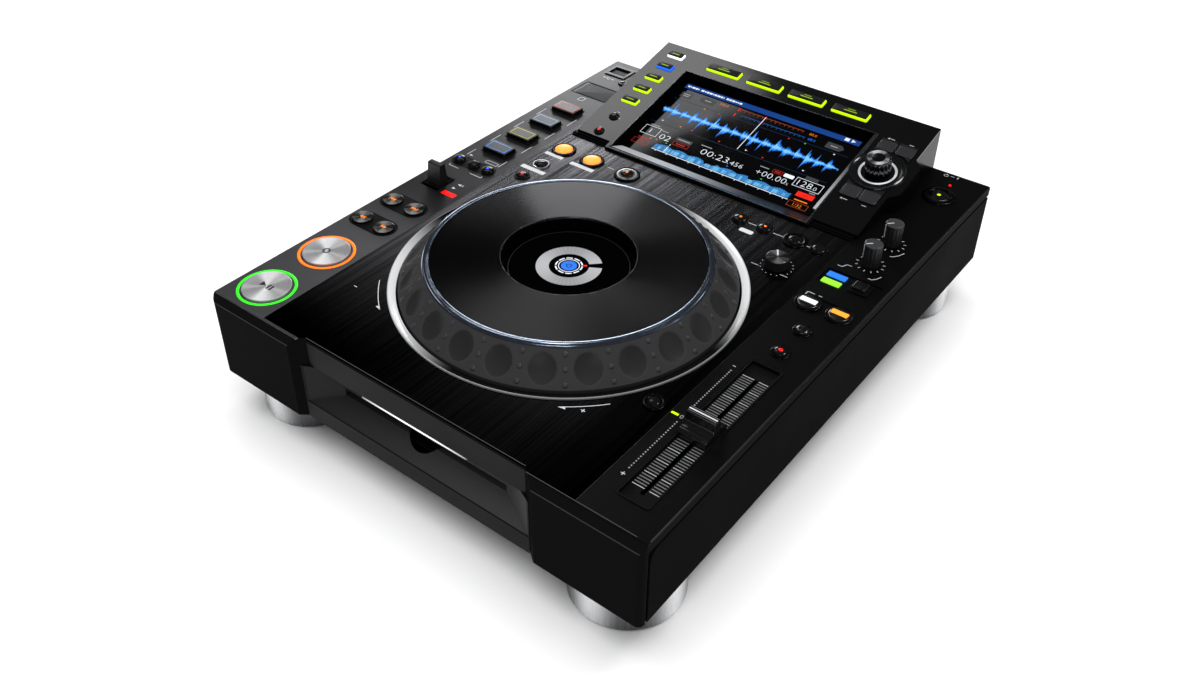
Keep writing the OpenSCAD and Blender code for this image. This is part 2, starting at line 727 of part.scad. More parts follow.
module rear_jacks() {
    zc = floor_z + 22;
    iw = inlet_w / 2;
    ih = inlet_h / 2;
    color([0.75, 0.75, 0.77])
    union() {
        for (x = [-45, -78, -102]) {
            out_back(x, zc, [[1.65, -9], [5, -9], [5, 0], [6.4, 0], [6.4, 1], [jack_r, 1],
                             [jack_r, jack_out], [3.3, jack_out], [3.3, jack_out - 1.5],
                             [1.65, jack_out - 1.5]]);
        }
        out_back(-128, zc, [[1.8, -11], [4, -11], [4, 0], [5, 0], [5, 1.2], [1.8, 1.2]]);
        difference() {
            union() {
                bx(118 - iw - 3.4, 118 + iw + 3.4, yb, yb + 2, zc - ih - 3, zc + ih + 3);
                bx(118 - iw - 1.5, 118 + iw + 1.5, yb - 20, yb + 1, zc - ih - 1.5, zc + ih + 1.5);
            }
            bx(118 - iw, 118 + iw, yb - 16, yb + 3, zc - ih, zc + ih);
        }
        for (i = [-1:1]) {
            bx(118 + i * 7 - 1, 118 + i * 7 + 1, yb - 17, yb - 1, zc - 3 + abs(i) * 2, zc + 1 + abs(i) * 2);
        }
        difference() {
            bx(12.1, 27.9, yb - 20, yb + 0.8, zc - 6.9, zc + 6.9);
            bx(14.1, 25.9, yb - 14, yb + 2, zc - 4.6, zc + 4.2);
        }
        difference() {
            bx(-16.9, -5.1, yb - 16, yb + 0.8, zc - 5.4, zc + 5.4);
            bx(-15.5, -6.5, yb - 12, yb + 2, zc - 4.1, zc + 4.1);
        }
        bx(-13.8, -8.2, yb - 13, yb - 0.5, zc - 1.6, zc + 1.6);
    }
}

// Places its children at the four feet
module at_feet() {
    for (x = [foot_in_x - hw, hw - foot_in_x]) {
        translate([x, yf + foot_in_front, 0])
        children();
        translate([x, yb - foot_in_back, 0])
        children();
    }
}

module feet() {
    z0 = pad_t / 2 - 0.4;
    color([0.72, 0.72, 0.74])
    at_feet()
    rotate_extrude()
    polygon([[0, pad_t], [foot_r - 1.8, pad_t], [foot_r - 1.8, z0], [foot_r - 0.6, z0],
             [foot_r, z0 + 0.6], [foot_r, floor_z - 0.5], [foot_r - 0.5, floor_z], [0, floor_z]]);
}

module foot_pads() {
    color([0.05, 0.05, 0.05])
    at_feet()
    cylinder(r = foot_r - 2, h = pad_t);
}

module case_screws() {
    color([0.6, 0.6, 0.62])
    union() {
        for (x = [-post_x, post_x]) {
            for (y = [post_y1, post_y2]) {
                difference() {
                    union() {
                        cyl(x, y, 3, floor_z - 1.4, floor_z);
                        cyl(x, y, 1.5, floor_z - 0.5, floor_z + 14);
                    }
                    bx(x - 1.8, x + 1.8, y - 0.35, y + 0.35, floor_z - 2, floor_z - 0.6);
                    bx(x - 0.35, x + 0.35, y - 1.8, y + 1.8, floor_z - 2, floor_z - 0.6);
                }
            }
        }
        for (x = [8 - hw, -110 * kx, -30, 60, hw - 8]) {
            for (z = [floor_z + 8, under - 5]) {
                out_back(x, z, [[0, 0], [2.8, 0], [2.8, 0.7], [2, 1.4], [0, 1.4]]);
            }
        }
    }
}

// Display housing's solid, with its walls drawn in and its top lowered
module disp_solid(n, low) {
    l = g_disp_left - n;
    r = g_disp_right - n;
    b = r + disp_bulge;
    t = tan(disp_tilt);
    c = cos(disp_tilt);
    z0 = deck_z + disp_lip - low;
    intersection() {
        translate([0, 0, deck_z - (n > 0 ? 1 : 0)])
        linear_extrude(height = 60)
        polygon([[-l, dy + n], [r, dy + n], [r, dy + 40 * ky * c], [b, dy + 46.3 * ky * c],
                 [b, dy + 75 * ky * c],
                 [r, dy + 81.9 * ky * c], [r, yb - n], [-l, yb - n]]);
        along_x(-hw, hw, [[dy - 12, deck_z - 2], [yb + 1, deck_z - 2], [yb + 1, z0 + (g_disp_d + 1) * t],
                          [dy - 12, z0 - 12 * t]]);
    }
}

// Cap of a pad beside the selector knob, grown by g
module sel_pad(x0, x1, v0, v1, g, z0, z1) {
    difference() {
        bx(x0 - g, x1 + g, v0 - g, v1 + g, z0, z1);
        cyl(sel_x, sel_v, 21 - g, z0 - 1, z1 + 1);
    }
}

// The four pads beside the selector knob, grown by g
module sel_pads(g, z0, z1) {
    sel_pad(sel_x - 12.5, sel_x - 0.8, sel_v + 16, sel_v + 31.5, g, z0, z1);
    sel_pad(sel_x + 0.8, sel_x + 14, sel_v + 16, sel_v + 31.5, g, z0, z1);
    sel_pad(sel_x - 12.5, sel_x - 0.8, sel_v - 30.5, sel_v - 14.5, g, z0, z1);
    sel_pad(sel_x + 0.8, sel_x + 14, sel_v - 30.5, sel_v - 14.5, g, z0, z1);
}

// The five source keys, grown by g
module src_caps(g, z0, z1) {
    for (i = [0:4]) {
        rbx(src_x, key_v - i * 15.3 * ky, source_w + 2 * g, source_d + 2 * g, 0.8 + g, z0, z1);
    }
}

// The four browse keys, grown by g
module browse_caps(g, z0, z1) {
    for (i = [0:3]) {
        rbx((-50 + i * 35.3) * kx, key_v - 0.3, g_browse_w + 2 * g, browse_d + 2 * g, 0.8 + g, z0, z1);
    }
}

module display_housing() {
    t = tan(disp_tilt);
    color([0.07, 0.07, 0.08])
    difference() {
        union() {
            difference() {
                disp_solid(0, 0);
                disp_solid(disp_wall, disp_wall / cos(disp_tilt));
            }
            along_x(-tab_l, tab_r, [[dy - tab_d, deck_z], [dy - tab_d, deck_z + disp_lip - tab_d * t - 0.03],
                                    [dy + 1, deck_z + disp_lip + t - 0.03], [dy + 1, deck_z]]);
            bx(-g_disp_left - 2, -tab_l, dy - 4.2, dy, deck_z, deck_z + 0.7);
            bx(-g_disp_left - 2, -tab_l, dy - 2.6, dy, deck_z, deck_z + 1.5);
            bx(tab_r, g_disp_right - 2, dy - 4.2, dy, deck_z, deck_z + 0.7);
            bx(tab_r, g_disp_right - 2, dy - 2.6, dy, deck_z, deck_z + 1.5);
            on_slope()
            along_x(-g_screen_left - 1.5, g_screen_right + 1.5, [[-5.5, -0.5], [-5.5, -1.9],
                    [screen_v0 - 1, -12], [sv1 + 2, -12], [sv1 + 2, -0.5]]);
        }
        on_slope() {
            along_x(-g_screen_left, g_screen_right, [[screen_v0, -screen_drop], [screen_v0, -13],
                    [sv1 + 0.5, -13], [sv1 + 0.5, 1], [-6.3, 1]]);
            src_caps(btn_gap, -4, 1);
            browse_caps(btn_gap, -4, 1);
            sel_pads(btn_gap, -4, 1);
            cyl(src_x, 23.9, lamp_r - 0.5 + btn_gap, -4, 1);
            cyl(src_x, 5.4, lamp_r - 0.5 + btn_gap, -4, 1);
            cyl(sel_x, sel_v, selector_dish_r, -0.7, 1);
            ring(sel_x, sel_v, 11.4, 12.95, -1.6, 1);
            cyl(sel_x, sel_v, shaft_r + shaft_clear, -4, 1);
        }
    }
}

module display_panel() {
    color([0.03, 0.03, 0.04])
    on_slope() {
        bx(0.1 - g_screen_left, g_screen_right - 0.1, screen_v0 + 0.1, sv1 + 0.4, -12, -screen_drop);
    }
}

module jog_trim_ring() {
    color([0.8, 0.8, 0.82])
    translate([0, jy, deck_z])
    rotate_extrude()
    polygon([[g_trim_in_r, -2], [g_trim_in_r + 1.3, -2], [g_trim_in_r + 1.3, 0], [g_trim_r, 0],
             [g_trim_r, 0.4], [g_trim_r - 0.6, 0.9], [g_trim_in_r, -0.1]]);
}

module jog_bearing() {
    h = disc_top - 2 - pan_z;
    color([0.3, 0.3, 0.32])
    translate([0, jy, pan_z])
    rotate_extrude()
    polygon([[g_post_r - 4, -2], [pan_r, -2], [pan_r, under - pan_z], [pan_r - 2.5, under - pan_z],
             [pan_r - 2.5, 0], [g_post_r, 0], [g_post_r, h], [g_post_r - 4, h]]);
}

module jog_display() {
    r0 = g_jog_window_r - jog_window_gap;
    color([0.05, 0.05, 0.06])
    translate([0, jy, disc_top])
    rotate_extrude()
    polygon([[0, -2], [r0, -2], [r0, -1.2], [r0 - 2.3, -1.2], [r0 - 2.8, 0], [0, 0]]);
}

module jog_wheel() {
    a = atan2(cone_dz, cone_dr);
    color([0.16, 0.16, 0.17])
    translate([0, jy, deck_z])
    difference() {
        rotate_extrude()
        polygon([[hub_r, -12.9], [30, -12.9], [30, -9], [g_jog_r, -7], [g_jog_r, 1],
                 [g_jog_top_r, jog_h - 1.5], [g_jog_top_r - 1.2, jog_h - 0.4], [g_jog_top_r - 4.2, jog_h],
                 [g_jog_top_r - 4.2, jog_h - 2.8], [g_jog_top_r - 7, jog_h - 2.8],
                 [g_jog_top_r - 7, jog_h - 4.4], [g_jog_top_r - 2.2, jog_h - 4.4],
                 [g_jog_r - 2.6, -0.4], [g_jog_r - 2.6, -5], [30, -7],
                 [30, jog_h - jog_disp_drop - 2.6], [hub_r, jog_h - jog_disp_drop - 2.6]]);
        for (i = [0:dimple_n - 1]) {
            rotate([0, 0, i * 360 / dimple_n])
            translate([(g_jog_r + g_jog_top_r) / 2, 0, (jog_h - 0.5) / 2])
            rotate([0, 90 - a, 0])
            translate([0, 0, dimple_R - dimple_depth])
            sphere(r = dimple_R);
        }
    }
}

module jog_top_plate() {
    zb = jog_h - jog_plate_t;
    color([0.12, 0.12, 0.13])
    translate([0, jy, deck_z])
    rotate_extrude()
    polygon([[g_jog_window_r, jog_h - jog_disp_drop + 0.2],
             [g_jog_window_r + 2, jog_h - jog_disp_drop + 0.2],
             [g_jog_window_r + 2, zb], [plate_r_out, zb], [plate_r_out, jog_h - 0.3],
             [g_jog_window_r + 0.4, jog_h - 0.3], [g_jog_window_r, jog_h - 0.7]]);
}

module light_guides() {
    ri = play_ring_r - play_ring_w;
    color([0.5, 0.95, 0.6])
    union() {
        ring(lc, play_y, ri, play_ring_r, deck_z - 1.2, deck_z + 0.3);
        ring(lc, cue_y, ri, play_ring_r, deck_z - 1.2, deck_z + 0.3);
        bx(-40, 40, ya + 0.6, ya + 2.6, fas_z - 2.2, fas_z);
        on_slope()
        ring(sel_x, sel_v, 11.45, 12.9, -1.6, -0.4);
    }
}

// Bright collar around a button
module collar(x, y, r, ro) {
    ring(x, y, r + btn_gap, ro, deck_z, deck_z + trim_h);
}

module button_trims() {
    color([0.75, 0.75, 0.77])
    union() {
        collar(plate_l + 13.9, loop_y, loop_r, loop_r + 2.6);
        collar(plate_l + 39.4, loop_y, loop_r, loop_r + 2.6);
        collar(plate_l + 70.1, loop_y, loop_r, loop_r + 2.6);
        collar(plate_l + 14.4, jy + 94.7 * ky, lamp_r, lamp_r + 2.2);
        collar(plate_l + 13.9, jy + 74.9 * ky, lamp_r, lamp_r + 1.4);
        collar(plate_r - 28.4, loop_y + 0.8, call_r, call_r + 3.4);
        collar(reset_x, reset_y, reset_r, reset_r + 2.8);
        collar(rc, eject_y, eject_r, eject_r + 3.5);
        difference() {
            rbx(usb_x, usb_y, 19.2, 17, 1.2, deck_z, deck_z + 0.8);
            bx(usb_x - 7.6, usb_x + 7.6, usb_y - 5.6, usb_y + 5.6, deck_z - 1, deck_z + 2);
            bx(usb_x - 7.62, usb_x - 7.6, usb_y - 9, usb_y + 9, deck_z - 1, deck_z + 2);
            bx(usb_x + 7.6, usb_x + 7.62, usb_y - 9, usb_y + 9, deck_z - 1, deck_z + 2);
        }
    }
}

module tempo_track() {
    zt = deck_z + 0.3;
    zf = deck_z - track_drop;
    color([0.06, 0.06, 0.07])
    difference() {
        rbx(trk_x, trk_y, track_w, g_track_len, 2, zf - 1.2, zt);
        rbx(trk_x, trk_y, track_w - 2.4, g_track_len - 2.4, 1, zf, zt + 1);
        bx(trk_x - tempo_slot_w / 2, trk_x + tempo_slot_w / 2, tempo_y - g_tempo_travel / 2 - 3.6,
           tempo_y + g_tempo_travel / 2 + 3.6, zf - 3, zf + 1);
    }
}

module circuit_boards() {
    bt = board_z;
    bu = board_z + layer_gap;
    color([0.08, 0.3, 0.16])
    union() {
        difference() {
            union() {
                bx(6 - hw, plate_l + 5.6 - 13, yf + 9, yb - 10, bt - 1.6, bt);
                bx(plate_r + 5, trk_x - 12, yf + 9, yb - 10, bt - 1.6, bt);
                bx(trk_x - 12, hw - 6, yf + 150 * ky, yb - 10, bt - 1.6, bt);
                bx(plate_l - 4, plate_r + 2, dy - 34.5, dy - 20, bt - 1.6, bt);
            }
            for (x = [-post_x, post_x]) {
                cyl(x, post_y1, 3.6, bt - 3, bt + 1);
                cyl(x, post_y2, 3.6, bt - 3, bt + 1);
            }
        }
        for (p = [[plate_l - 9, yf + 45], [plate_l - 9, yf + 150 * ky], [plate_l - 9, yb - 20],
                  [plate_r + 6.6, yf + 45], [plate_r + 6.6, yb - 60], [hw - 12, yb - 14],
                  [plate_l + 54, dy - 30], [plate_r - 85, dy - 30], [plate_r + 6.6, yf + 180 * ky]]) {
            cyl(p[0], p[1], 2, bu, under);
        }
        bx(usb_x - 7.2, usb_x - 6.3, usb_y - 3.6, usb_y + 3.6, bu, deck_z - 1);
        bx(usb_x + 6.3, usb_x + 7.2, usb_y - 3.6, usb_y + 3.6, bu, deck_z - 1);
        bx(usb_x - 6.28, usb_x + 6.28, usb_y - 3.6, usb_y - 2.7, bu, deck_z - 1);
        bx(usb_x - 6.28, usb_x + 6.28, usb_y + 2.7, usb_y + 3.6, bu, deck_z - 1);
        difference() {
            bx(lc - 12.9, lc + 12.9, door_y - 5, door_y + 5, bu, deck_z - 4);
            bx(lc - 12.1, lc + 12.1, door_y - 1.3, door_y + 1.3, bt + 1, deck_z - 3);
        }
        bx(-120, 120, drv_y1 + 12, yb - 24, floor_z + 8, floor_z + 9.6);
        bx(60, 110, drv_y1 + 30, drv_y1 + 90, floor_z + 9.6, floor_z + 34);
        bx(-100, -60, drv_y1 + 40, drv_y1 + 80, floor_z + 9.6, floor_z + 14);
        for (x = [-112, 112]) {
            cyl(x, drv_y1 + 18, 3, floor_z + sheet_t, floor_z + 8);
            cyl(x, yb - 84, 3, floor_z + sheet_t, floor_z + 8);
        }
    }
}

module drive_chassis() {
    color([0.6, 0.61, 0.63])
    union() {
        difference() {
            union() {
                bx(-70, 70, drv_y0, drv_y1, drv_z, drv_z + 1.2);
                bx(-70, -68.8, drv_y0, drv_y1, drv_z + 1.2 + layer_gap, floor_z + 32 - layer_gap);
                bx(68.8, 70, drv_y0, drv_y1, drv_z + 1.2 + layer_gap, floor_z + 32 - layer_gap);
                bx(-70, 70, drv_y0, drv_y1, floor_z + 32, floor_z + 33.2);
            }
            cyl(0, dcy, 20, floor_z + 30, floor_z + 36);
            cyl(0, dcy, 4, drv_z - 1, drv_z + 2);
            bx(-14, 14, dcy + 15, drv_y1 - 4, drv_z - 1, drv_z + 2);
            translate([-80, drv_y0 + 5, sz - roller_r - 0.4])
            rotate([0, 90, 0])
            cylinder(r = 1.55, h = 160);
        }
        for (x = [-22, 22]) {
            translate([x, dcy + 14, drv_z + 5.5])
            rotate([-90, 0, 0])
            cylinder(r = 1.5, h = drv_y1 - dcy - 16);
            bx(x - 3, x + 3, dcy + 13, dcy + 15, drv_z + 1, drv_z + 8);
            bx(x - 3, x + 3, drv_y1 - 3, drv_y1 - 1, drv_z + 1, drv_z + 8);
        }
        for (x = [-62, 62]) {
            cyl(x, drv_y0 + 10, 4, floor_z + sheet_t, drv_z);
            cyl(x, drv_y1 - 8, 4, floor_z + sheet_t, drv_z);
        }
        ring(0, dcy, 1.55, 11, floor_z + 2.5, drv_z);
    }
}

module disc_roller() {
    color([0.05, 0.05, 0.05])
    translate([-69.9, drv_y0 + 5, sz - roller_r - 0.4])
    rotate([0, 90, 0])
    union() {
        cylinder(r = 1.5, h = 139.8);
        translate([0, 0, 4])
        cylinder(r = roller_r, h = 131.8);
    }
}

module turntable() {
    color([0.2, 0.2, 0.21])
    translate([0, dcy, 0])
    rotate_extrude()
    polygon([[0, floor_z + 4], [1.5, floor_z + 4], [1.5, drv_z + 1.5], [turntable_r, drv_z + 1.5],
             [turntable_r, sz - 3.2], [7.2, sz - 3.2], [6.6, sz - 0.4], [0, sz - 0.4]]);
}

module optical_pickup() {
    y0 = dcy + 15.5;
    color([0.15, 0.15, 0.16])
    difference() {
        union() {
            bx(-26, 26, y0, y0 + 20, drv_z + 2.2, drv_z + 9);
            cyl(0, y0 + 10, 4, drv_z + 8, sz - 1.6);
        }
        for (x = [-22, 22]) {
            translate([x, y0 - 1, drv_z + 5.5])
            rotate([-90, 0, 0])
            cylinder(r = 1.55, h = 24);
        }
    }
}

module play_button() {
    color([0.75, 0.75, 0.76])
    button(lc, play_y, play_r, btn_rise, play_travel);
}

module cue_button() {
    color([0.75, 0.75, 0.76])
    button(lc, cue_y, play_r, btn_rise, play_travel);
}

module search_buttons() {
    color([0.7, 0.7, 0.72])
    union() {
        button(lc1, search_y, search_r, btn_rise, btn_travel);
        button(lc2, search_y, search_r, btn_rise, btn_travel);
    }
}

module track_buttons() {
    color([0.7, 0.7, 0.72])
    union() {
        button(lc1, track_y, search_r, btn_rise, btn_travel);
        button(lc2, track_y, search_r, btn_rise, btn_travel);
    }
}

module direction_lever() {
    zp = under - 6;
    w = lever_w / 2;
    color([0.1, 0.1, 0.11])
    union() {
        along_x(lever_x - w, lever_x + w, [[lever_y - 3.2, zp], [lever_y - 4, deck_z],
                [lever_y - 2.3, deck_z + lever_h - 0.6], [lever_y - 1.7, deck_z + lever_h],
                [lever_y + 1.7, deck_z + lever_h], [lever_y + 2.3, deck_z + lever_h - 0.6],
                [lever_y + 4, deck_z], [lever_y + 3.2, zp]]);
        translate([lever_x - w, lever_y, zp])
        rotate([0, 90, 0])
        cylinder(r = 3.2, h = lever_w);
        translate([lever_x - 10, lever_y, zp])
        rotate([0, 90, 0])
        cylinder(r = 1.5, h = 20);
    }
}

module bank_buttons() {
    color([0.2, 0.2, 0.22])
    union() {
        button(9 - hw, bank_y, bank_r, btn_rise, btn_travel);
        button(22.5 - hw, bank_y, bank_r, btn_rise, btn_travel);
        button(35.4 - hw, bank_y, bank_r, btn_rise, btn_travel);
    }
}

// Hot cue pad number n, counted from the front
module hot_cue(n) {
    y = pad_y + n * g_pad_pitch;
    zf = under - seat;
    rbx(lc + 0.1, y, pad_w, pad_d, pad_corner, zf, deck_z + pad_rise);
    bx(lc + 0.1 - pad_w / 2 - 1.2, lc + 0.1 + pad_w / 2 + 1.2, y - pad_d / 2 - 1.2, y + pad_d / 2 + 1.2,
       zf - flange_t, zf);
    cyl(lc + 0.1, y, 2, board_z + btn_travel + 0.15, zf);
}

module hot_cue_a() {
    color([0.8, 0.2, 0.15])
    hot_cue(3);
}

module hot_cue_b() {
    color([0.2, 0.6, 0.9])
    hot_cue(2);
}

module hot_cue_c() {
    color([0.85, 0.75, 0.1])
    hot_cue(1);
}

module hot_cue_d() {
    color([0.15, 0.3, 0.9])
    hot_cue(0);
}

module usb_stop_button() {
    color([0.15, 0.15, 0.16])
    button(6 + lc, stop_y, lamp_r - 0.6, btn_rise, btn_travel);
}

module card_door() {
    yh = door_y + 9.1;
    zh = deck_z - 1;
    color([0.13, 0.13, 0.14])
    difference() {
        union() {
            bx(lc - 14, lc + 14, door_y - 9.9, yh, deck_z - 1.9, deck_z);
            translate([lc - 14, yh, zh])
            rotate([0, 90, 0])
            cylinder(r = 1, h = 28);
            translate([lc - 15, yh, zh])
            rotate([0, 90, 0])
            cylinder(r = 0.5, h = 30);
        }
        bx(lc - 4, lc + 4, door_y - 11, door_y - 8.4, deck_z - 0.6, deck_z + 1);
    }
}

module loop_in_button() {
    color([0.9, 0.45, 0.1])
    button(plate_l + 13.9, loop_y, loop_r, btn_rise, btn_travel);
}

module loop_out_button() {
    color([0.9, 0.45, 0.1])
    button(plate_l + 39.4, loop_y, loop_r, btn_rise, btn_travel);
}

module reloop_button() {
    color([0.2, 0.2, 0.21])
    button(plate_l + 70.1, loop_y, loop_r, btn_rise, btn_travel);
}

module beat_loop_button() {
    color([0.1, 0.1, 0.11])
    button(plate_l + 14.4, jy + 94.7 * ky, lamp_r, btn_rise, btn_travel);
}

module slip_button() {
    color([0.1, 0.1, 0.11])
    button(plate_l + 13.9, jy + 74.9 * ky, lamp_r, btn_rise, btn_travel);
}

module call_buttons() {
    color([0.15, 0.15, 0.16])
    union() {
        button(plate_r - 69.3, loop_y + 0.8, call_r, btn_rise, btn_travel);
        button(plate_r - 50.7, loop_y + 0.8, call_r, btn_rise, btn_travel);
    }
}

module memory_buttons() {
    color([0.15, 0.15, 0.16])
    union() {
        button(plate_r - 28.4, loop_y + 0.8, call_r, btn_rise, btn_travel);
        button(plate_r - 11.2, loop_y + 0.8, call_r, btn_rise, btn_travel);
    }
}

module jog_adjust_knob() {
    color([0.5, 0.5, 0.52])
    union() {
        ribbed(adjust_x, adjust_y, adjust_r, deck_z + 0.4, deck_z + adjust_h, 24);
        deck_shaft(adjust_x, adjust_y);
    }
}

module tempo_reset_button() {
    color([0.15, 0.15, 0.16])
    button(reset_x, reset_y, reset_r, btn_rise, btn_travel);
}

module eject_button() {
    color([0.15, 0.15, 0.16])
    button(rc, eject_y, eject_r, btn_rise, btn_travel);
}

module brake_knob() {
    color([0.1, 0.1, 0.11])
    union() {
        ribbed(rc, brake_y, knob_r, deck_z + 0.4, deck_z + knob_h, knob_ribs);
        deck_shaft(rc, brake_y);
    }
}

module start_knob() {
    color([0.1, 0.1, 0.11])
    union() {
        ribbed(rc, start_y, knob_r, deck_z + 0.4, deck_z + knob_h, knob_ribs);
        deck_shaft(rc, start_y);
    }
}

module jog_mode_button() {
    color([0.15, 0.15, 0.16])
    union() {
        rbx(mode_x, mode_y, mode_w, mode_w, 0.8, under - seat, deck_z + btn_rise);
        bx(mode_x - mode_w / 2 - 1.2, mode_x + mode_w / 2 + 1.2, mode_y - mode_w / 2 - 1.2,
           mode_y + mode_w / 2 + 1.2, under - seat - flange_t, under - seat);
        cyl(mode_x, mode_y, stem_r, board_z + btn_travel + 0.15, under - 1);
    }
}

module sync_button() {
    color([0.15, 0.15, 0.16])
    button(hw - 33.5, sync_y, sync_r, btn_rise, btn_travel);
}

module master_button() {
    color([0.15, 0.15, 0.16])
    button(hw - 12.9, sync_y, sync_r, btn_rise, btn_travel);
}

module tempo_mode_buttons() {
    color([0.15, 0.15, 0.16])
    union() {
        button(rc - 0.3, range_y, lamp_r, btn_rise, btn_travel);
        button(rc - 0.3, mt_y, lamp_r, btn_rise, btn_travel);
    }
}

module tempo_slider() {
    z0 = deck_z - track_drop + 0.3;
    l = fader_len / 2;
    w = fader_w / 2;
    color([0.12, 0.12, 0.13])
    union() {
        along_x(trk_x - w, trk_x + w, [[tempo_y - l, z0], [tempo_y - l, deck_z + 2.6],
                [tempo_y - l + 1, deck_z + 3.4], [tempo_y - 5.4, deck_z + 4.4],
                [tempo_y - 3.4, deck_z + 6.6], [tempo_y - 2.6, deck_z + fader_h - 0.5],
                [tempo_y - 2.1, deck_z + fader_h], [tempo_y + 2.1, deck_z + fader_h],
                [tempo_y + 2.6, deck_z + fader_h - 0.5], [tempo_y + 3.4, deck_z + 6.6],
                [tempo_y + 5.4, deck_z + 4.4], [tempo_y + l - 1, deck_z + 3.4],
                [tempo_y + l, deck_z + 2.6], [tempo_y + l, z0]]);
        bx(trk_x - tempo_slot_w / 2 + 0.3, trk_x + tempo_slot_w / 2 - 0.3, tempo_y - 3, tempo_y + 3,
           under - 9, z0 + 0.5);
    }
}

module selector_knob() {
    color([0.5, 0.5, 0.52])
    on_slope()
    difference() {
        ribbed(sel_x, sel_v, selector_r, 0.8, selector_h, 20);
        cyl(sel_x, sel_v, shaft_r + shaft_clear, 0, selector_h - 2.5);
    }
}

module selector_shaft() {
    color([0.6, 0.6, 0.62])
    on_slope()
    union() {
        cyl(sel_x, sel_v, shaft_r, -9, selector_h - 2.6);
        cyl(sel_x, sel_v, shaft_r + 2, -disp_wall - 1.6, -disp_wall - seat);
    }
}

module selector_pads() {
    z0 = -disp_wall - 1.3;
    z1 = -disp_wall - seat;
    color([0.15, 0.15, 0.16])
    on_slope()
    union() {
        sel_pads(0, z0, 0.8);
        difference() {
            bx(sel_x - 14, sel_x + 14.6, sel_v - 32, sel_v + 33, z0, z1);
            bx(sel_x - 11, sel_x + 11.6, sel_v - 29, sel_v + 30, z0 - 1, z1 + 1);
        }
    }
}

module source_keys() {
    z0 = -disp_wall - 1.3;
    z1 = -disp_wall - seat;
    color([0.12, 0.12, 0.13])
    on_slope()
    union() {
        src_caps(0, z0, key_rise);
        bx(src_x - 2, src_x + 2, key_v - 61.2 * ky - 1.8, key_v + 2, z0, z1);
        bx(src_x - source_w / 2 - 1, src_x + source_w / 2 + 1, key_v - 2, key_v + 2, z0, z1);
        bx(src_x - source_w / 2 - 1, src_x + source_w / 2 + 1, key_v - 61.2 * ky - 1.8,
           key_v - 61.2 * ky + 2.2, z0, z1);
    }
}

module browse_keys() {
    z0 = -disp_wall - 1.3;
    z1 = -disp_wall - seat;
    color([0.12, 0.12, 0.13])
    on_slope()
    union() {
        browse_caps(0, z0, key_rise);
        bx(-50 * kx - 1 - g_browse_w / 2, 55.9 * kx + 1.1 + g_browse_w / 2, key_v - 2.3, key_v + 1.7,
           z0, z1);
    }
}

module mode_buttons() {
    r = lamp_r - 0.5;
    z1 = -disp_wall - seat;
    color([0.12, 0.12, 0.13])
    on_slope()
    union() {
        for (v = [5.4, 23.9]) {
            cyl(src_x, v, r, z1 - 0.5, 0.9);
            difference() {
                cyl(src_x, v, r + 0.9, z1 - 0.5, z1);
                bx(src_x - 7, src_x + 7, -2, 2.6, z1 - 1, z1 + 1);
            }
        }
        bx(src_x - 1.5, src_x + 1.5, 5.4, 23.9, z1 - 0.5, z1);
    }
}

module power_button() {
    zc = floor_z + 22;
    color([0.1, 0.1, 0.11])
    union() {
        bx(80 - power_w / 2, 80 + power_w / 2, yb - 14, yb + 3.5, zc - 7, zc + 7);
        bx(79 - power_w / 2, 81 + power_w / 2, yb - 4, yb - 1.55, zc - 8.4, zc + 8.4);
    }
}

lower_chassis();
top_case();
deck_plate();
slot_bezel();
rear_panel();
rear_jacks();
feet();
foot_pads();
case_screws();
display_housing();
display_panel();
jog_trim_ring();
jog_bearing();
jog_display();
light_guides();
button_trims();
tempo_track();
circuit_boards();
drive_chassis();
jog_wheel();
jog_top_plate();
play_button();
cue_button();
search_buttons();
track_buttons();
direction_lever();
bank_buttons();
hot_cue_a();
hot_cue_b();
hot_cue_c();
hot_cue_d();
usb_stop_button();
card_door();
loop_in_button();
loop_out_button();
reloop_button();
beat_loop_button();
slip_button();
call_buttons();
memory_buttons();
jog_adjust_knob();
tempo_reset_button();
eject_button();
brake_knob();
start_knob();
jog_mode_button();
sync_button();
master_button();
tempo_mode_buttons();
tempo_slider();
selector_knob();
selector_shaft();
selector_pads();
source_keys();
browse_keys();
mode_buttons();
power_button();
disc_roller();
turntable();
optical_pickup();
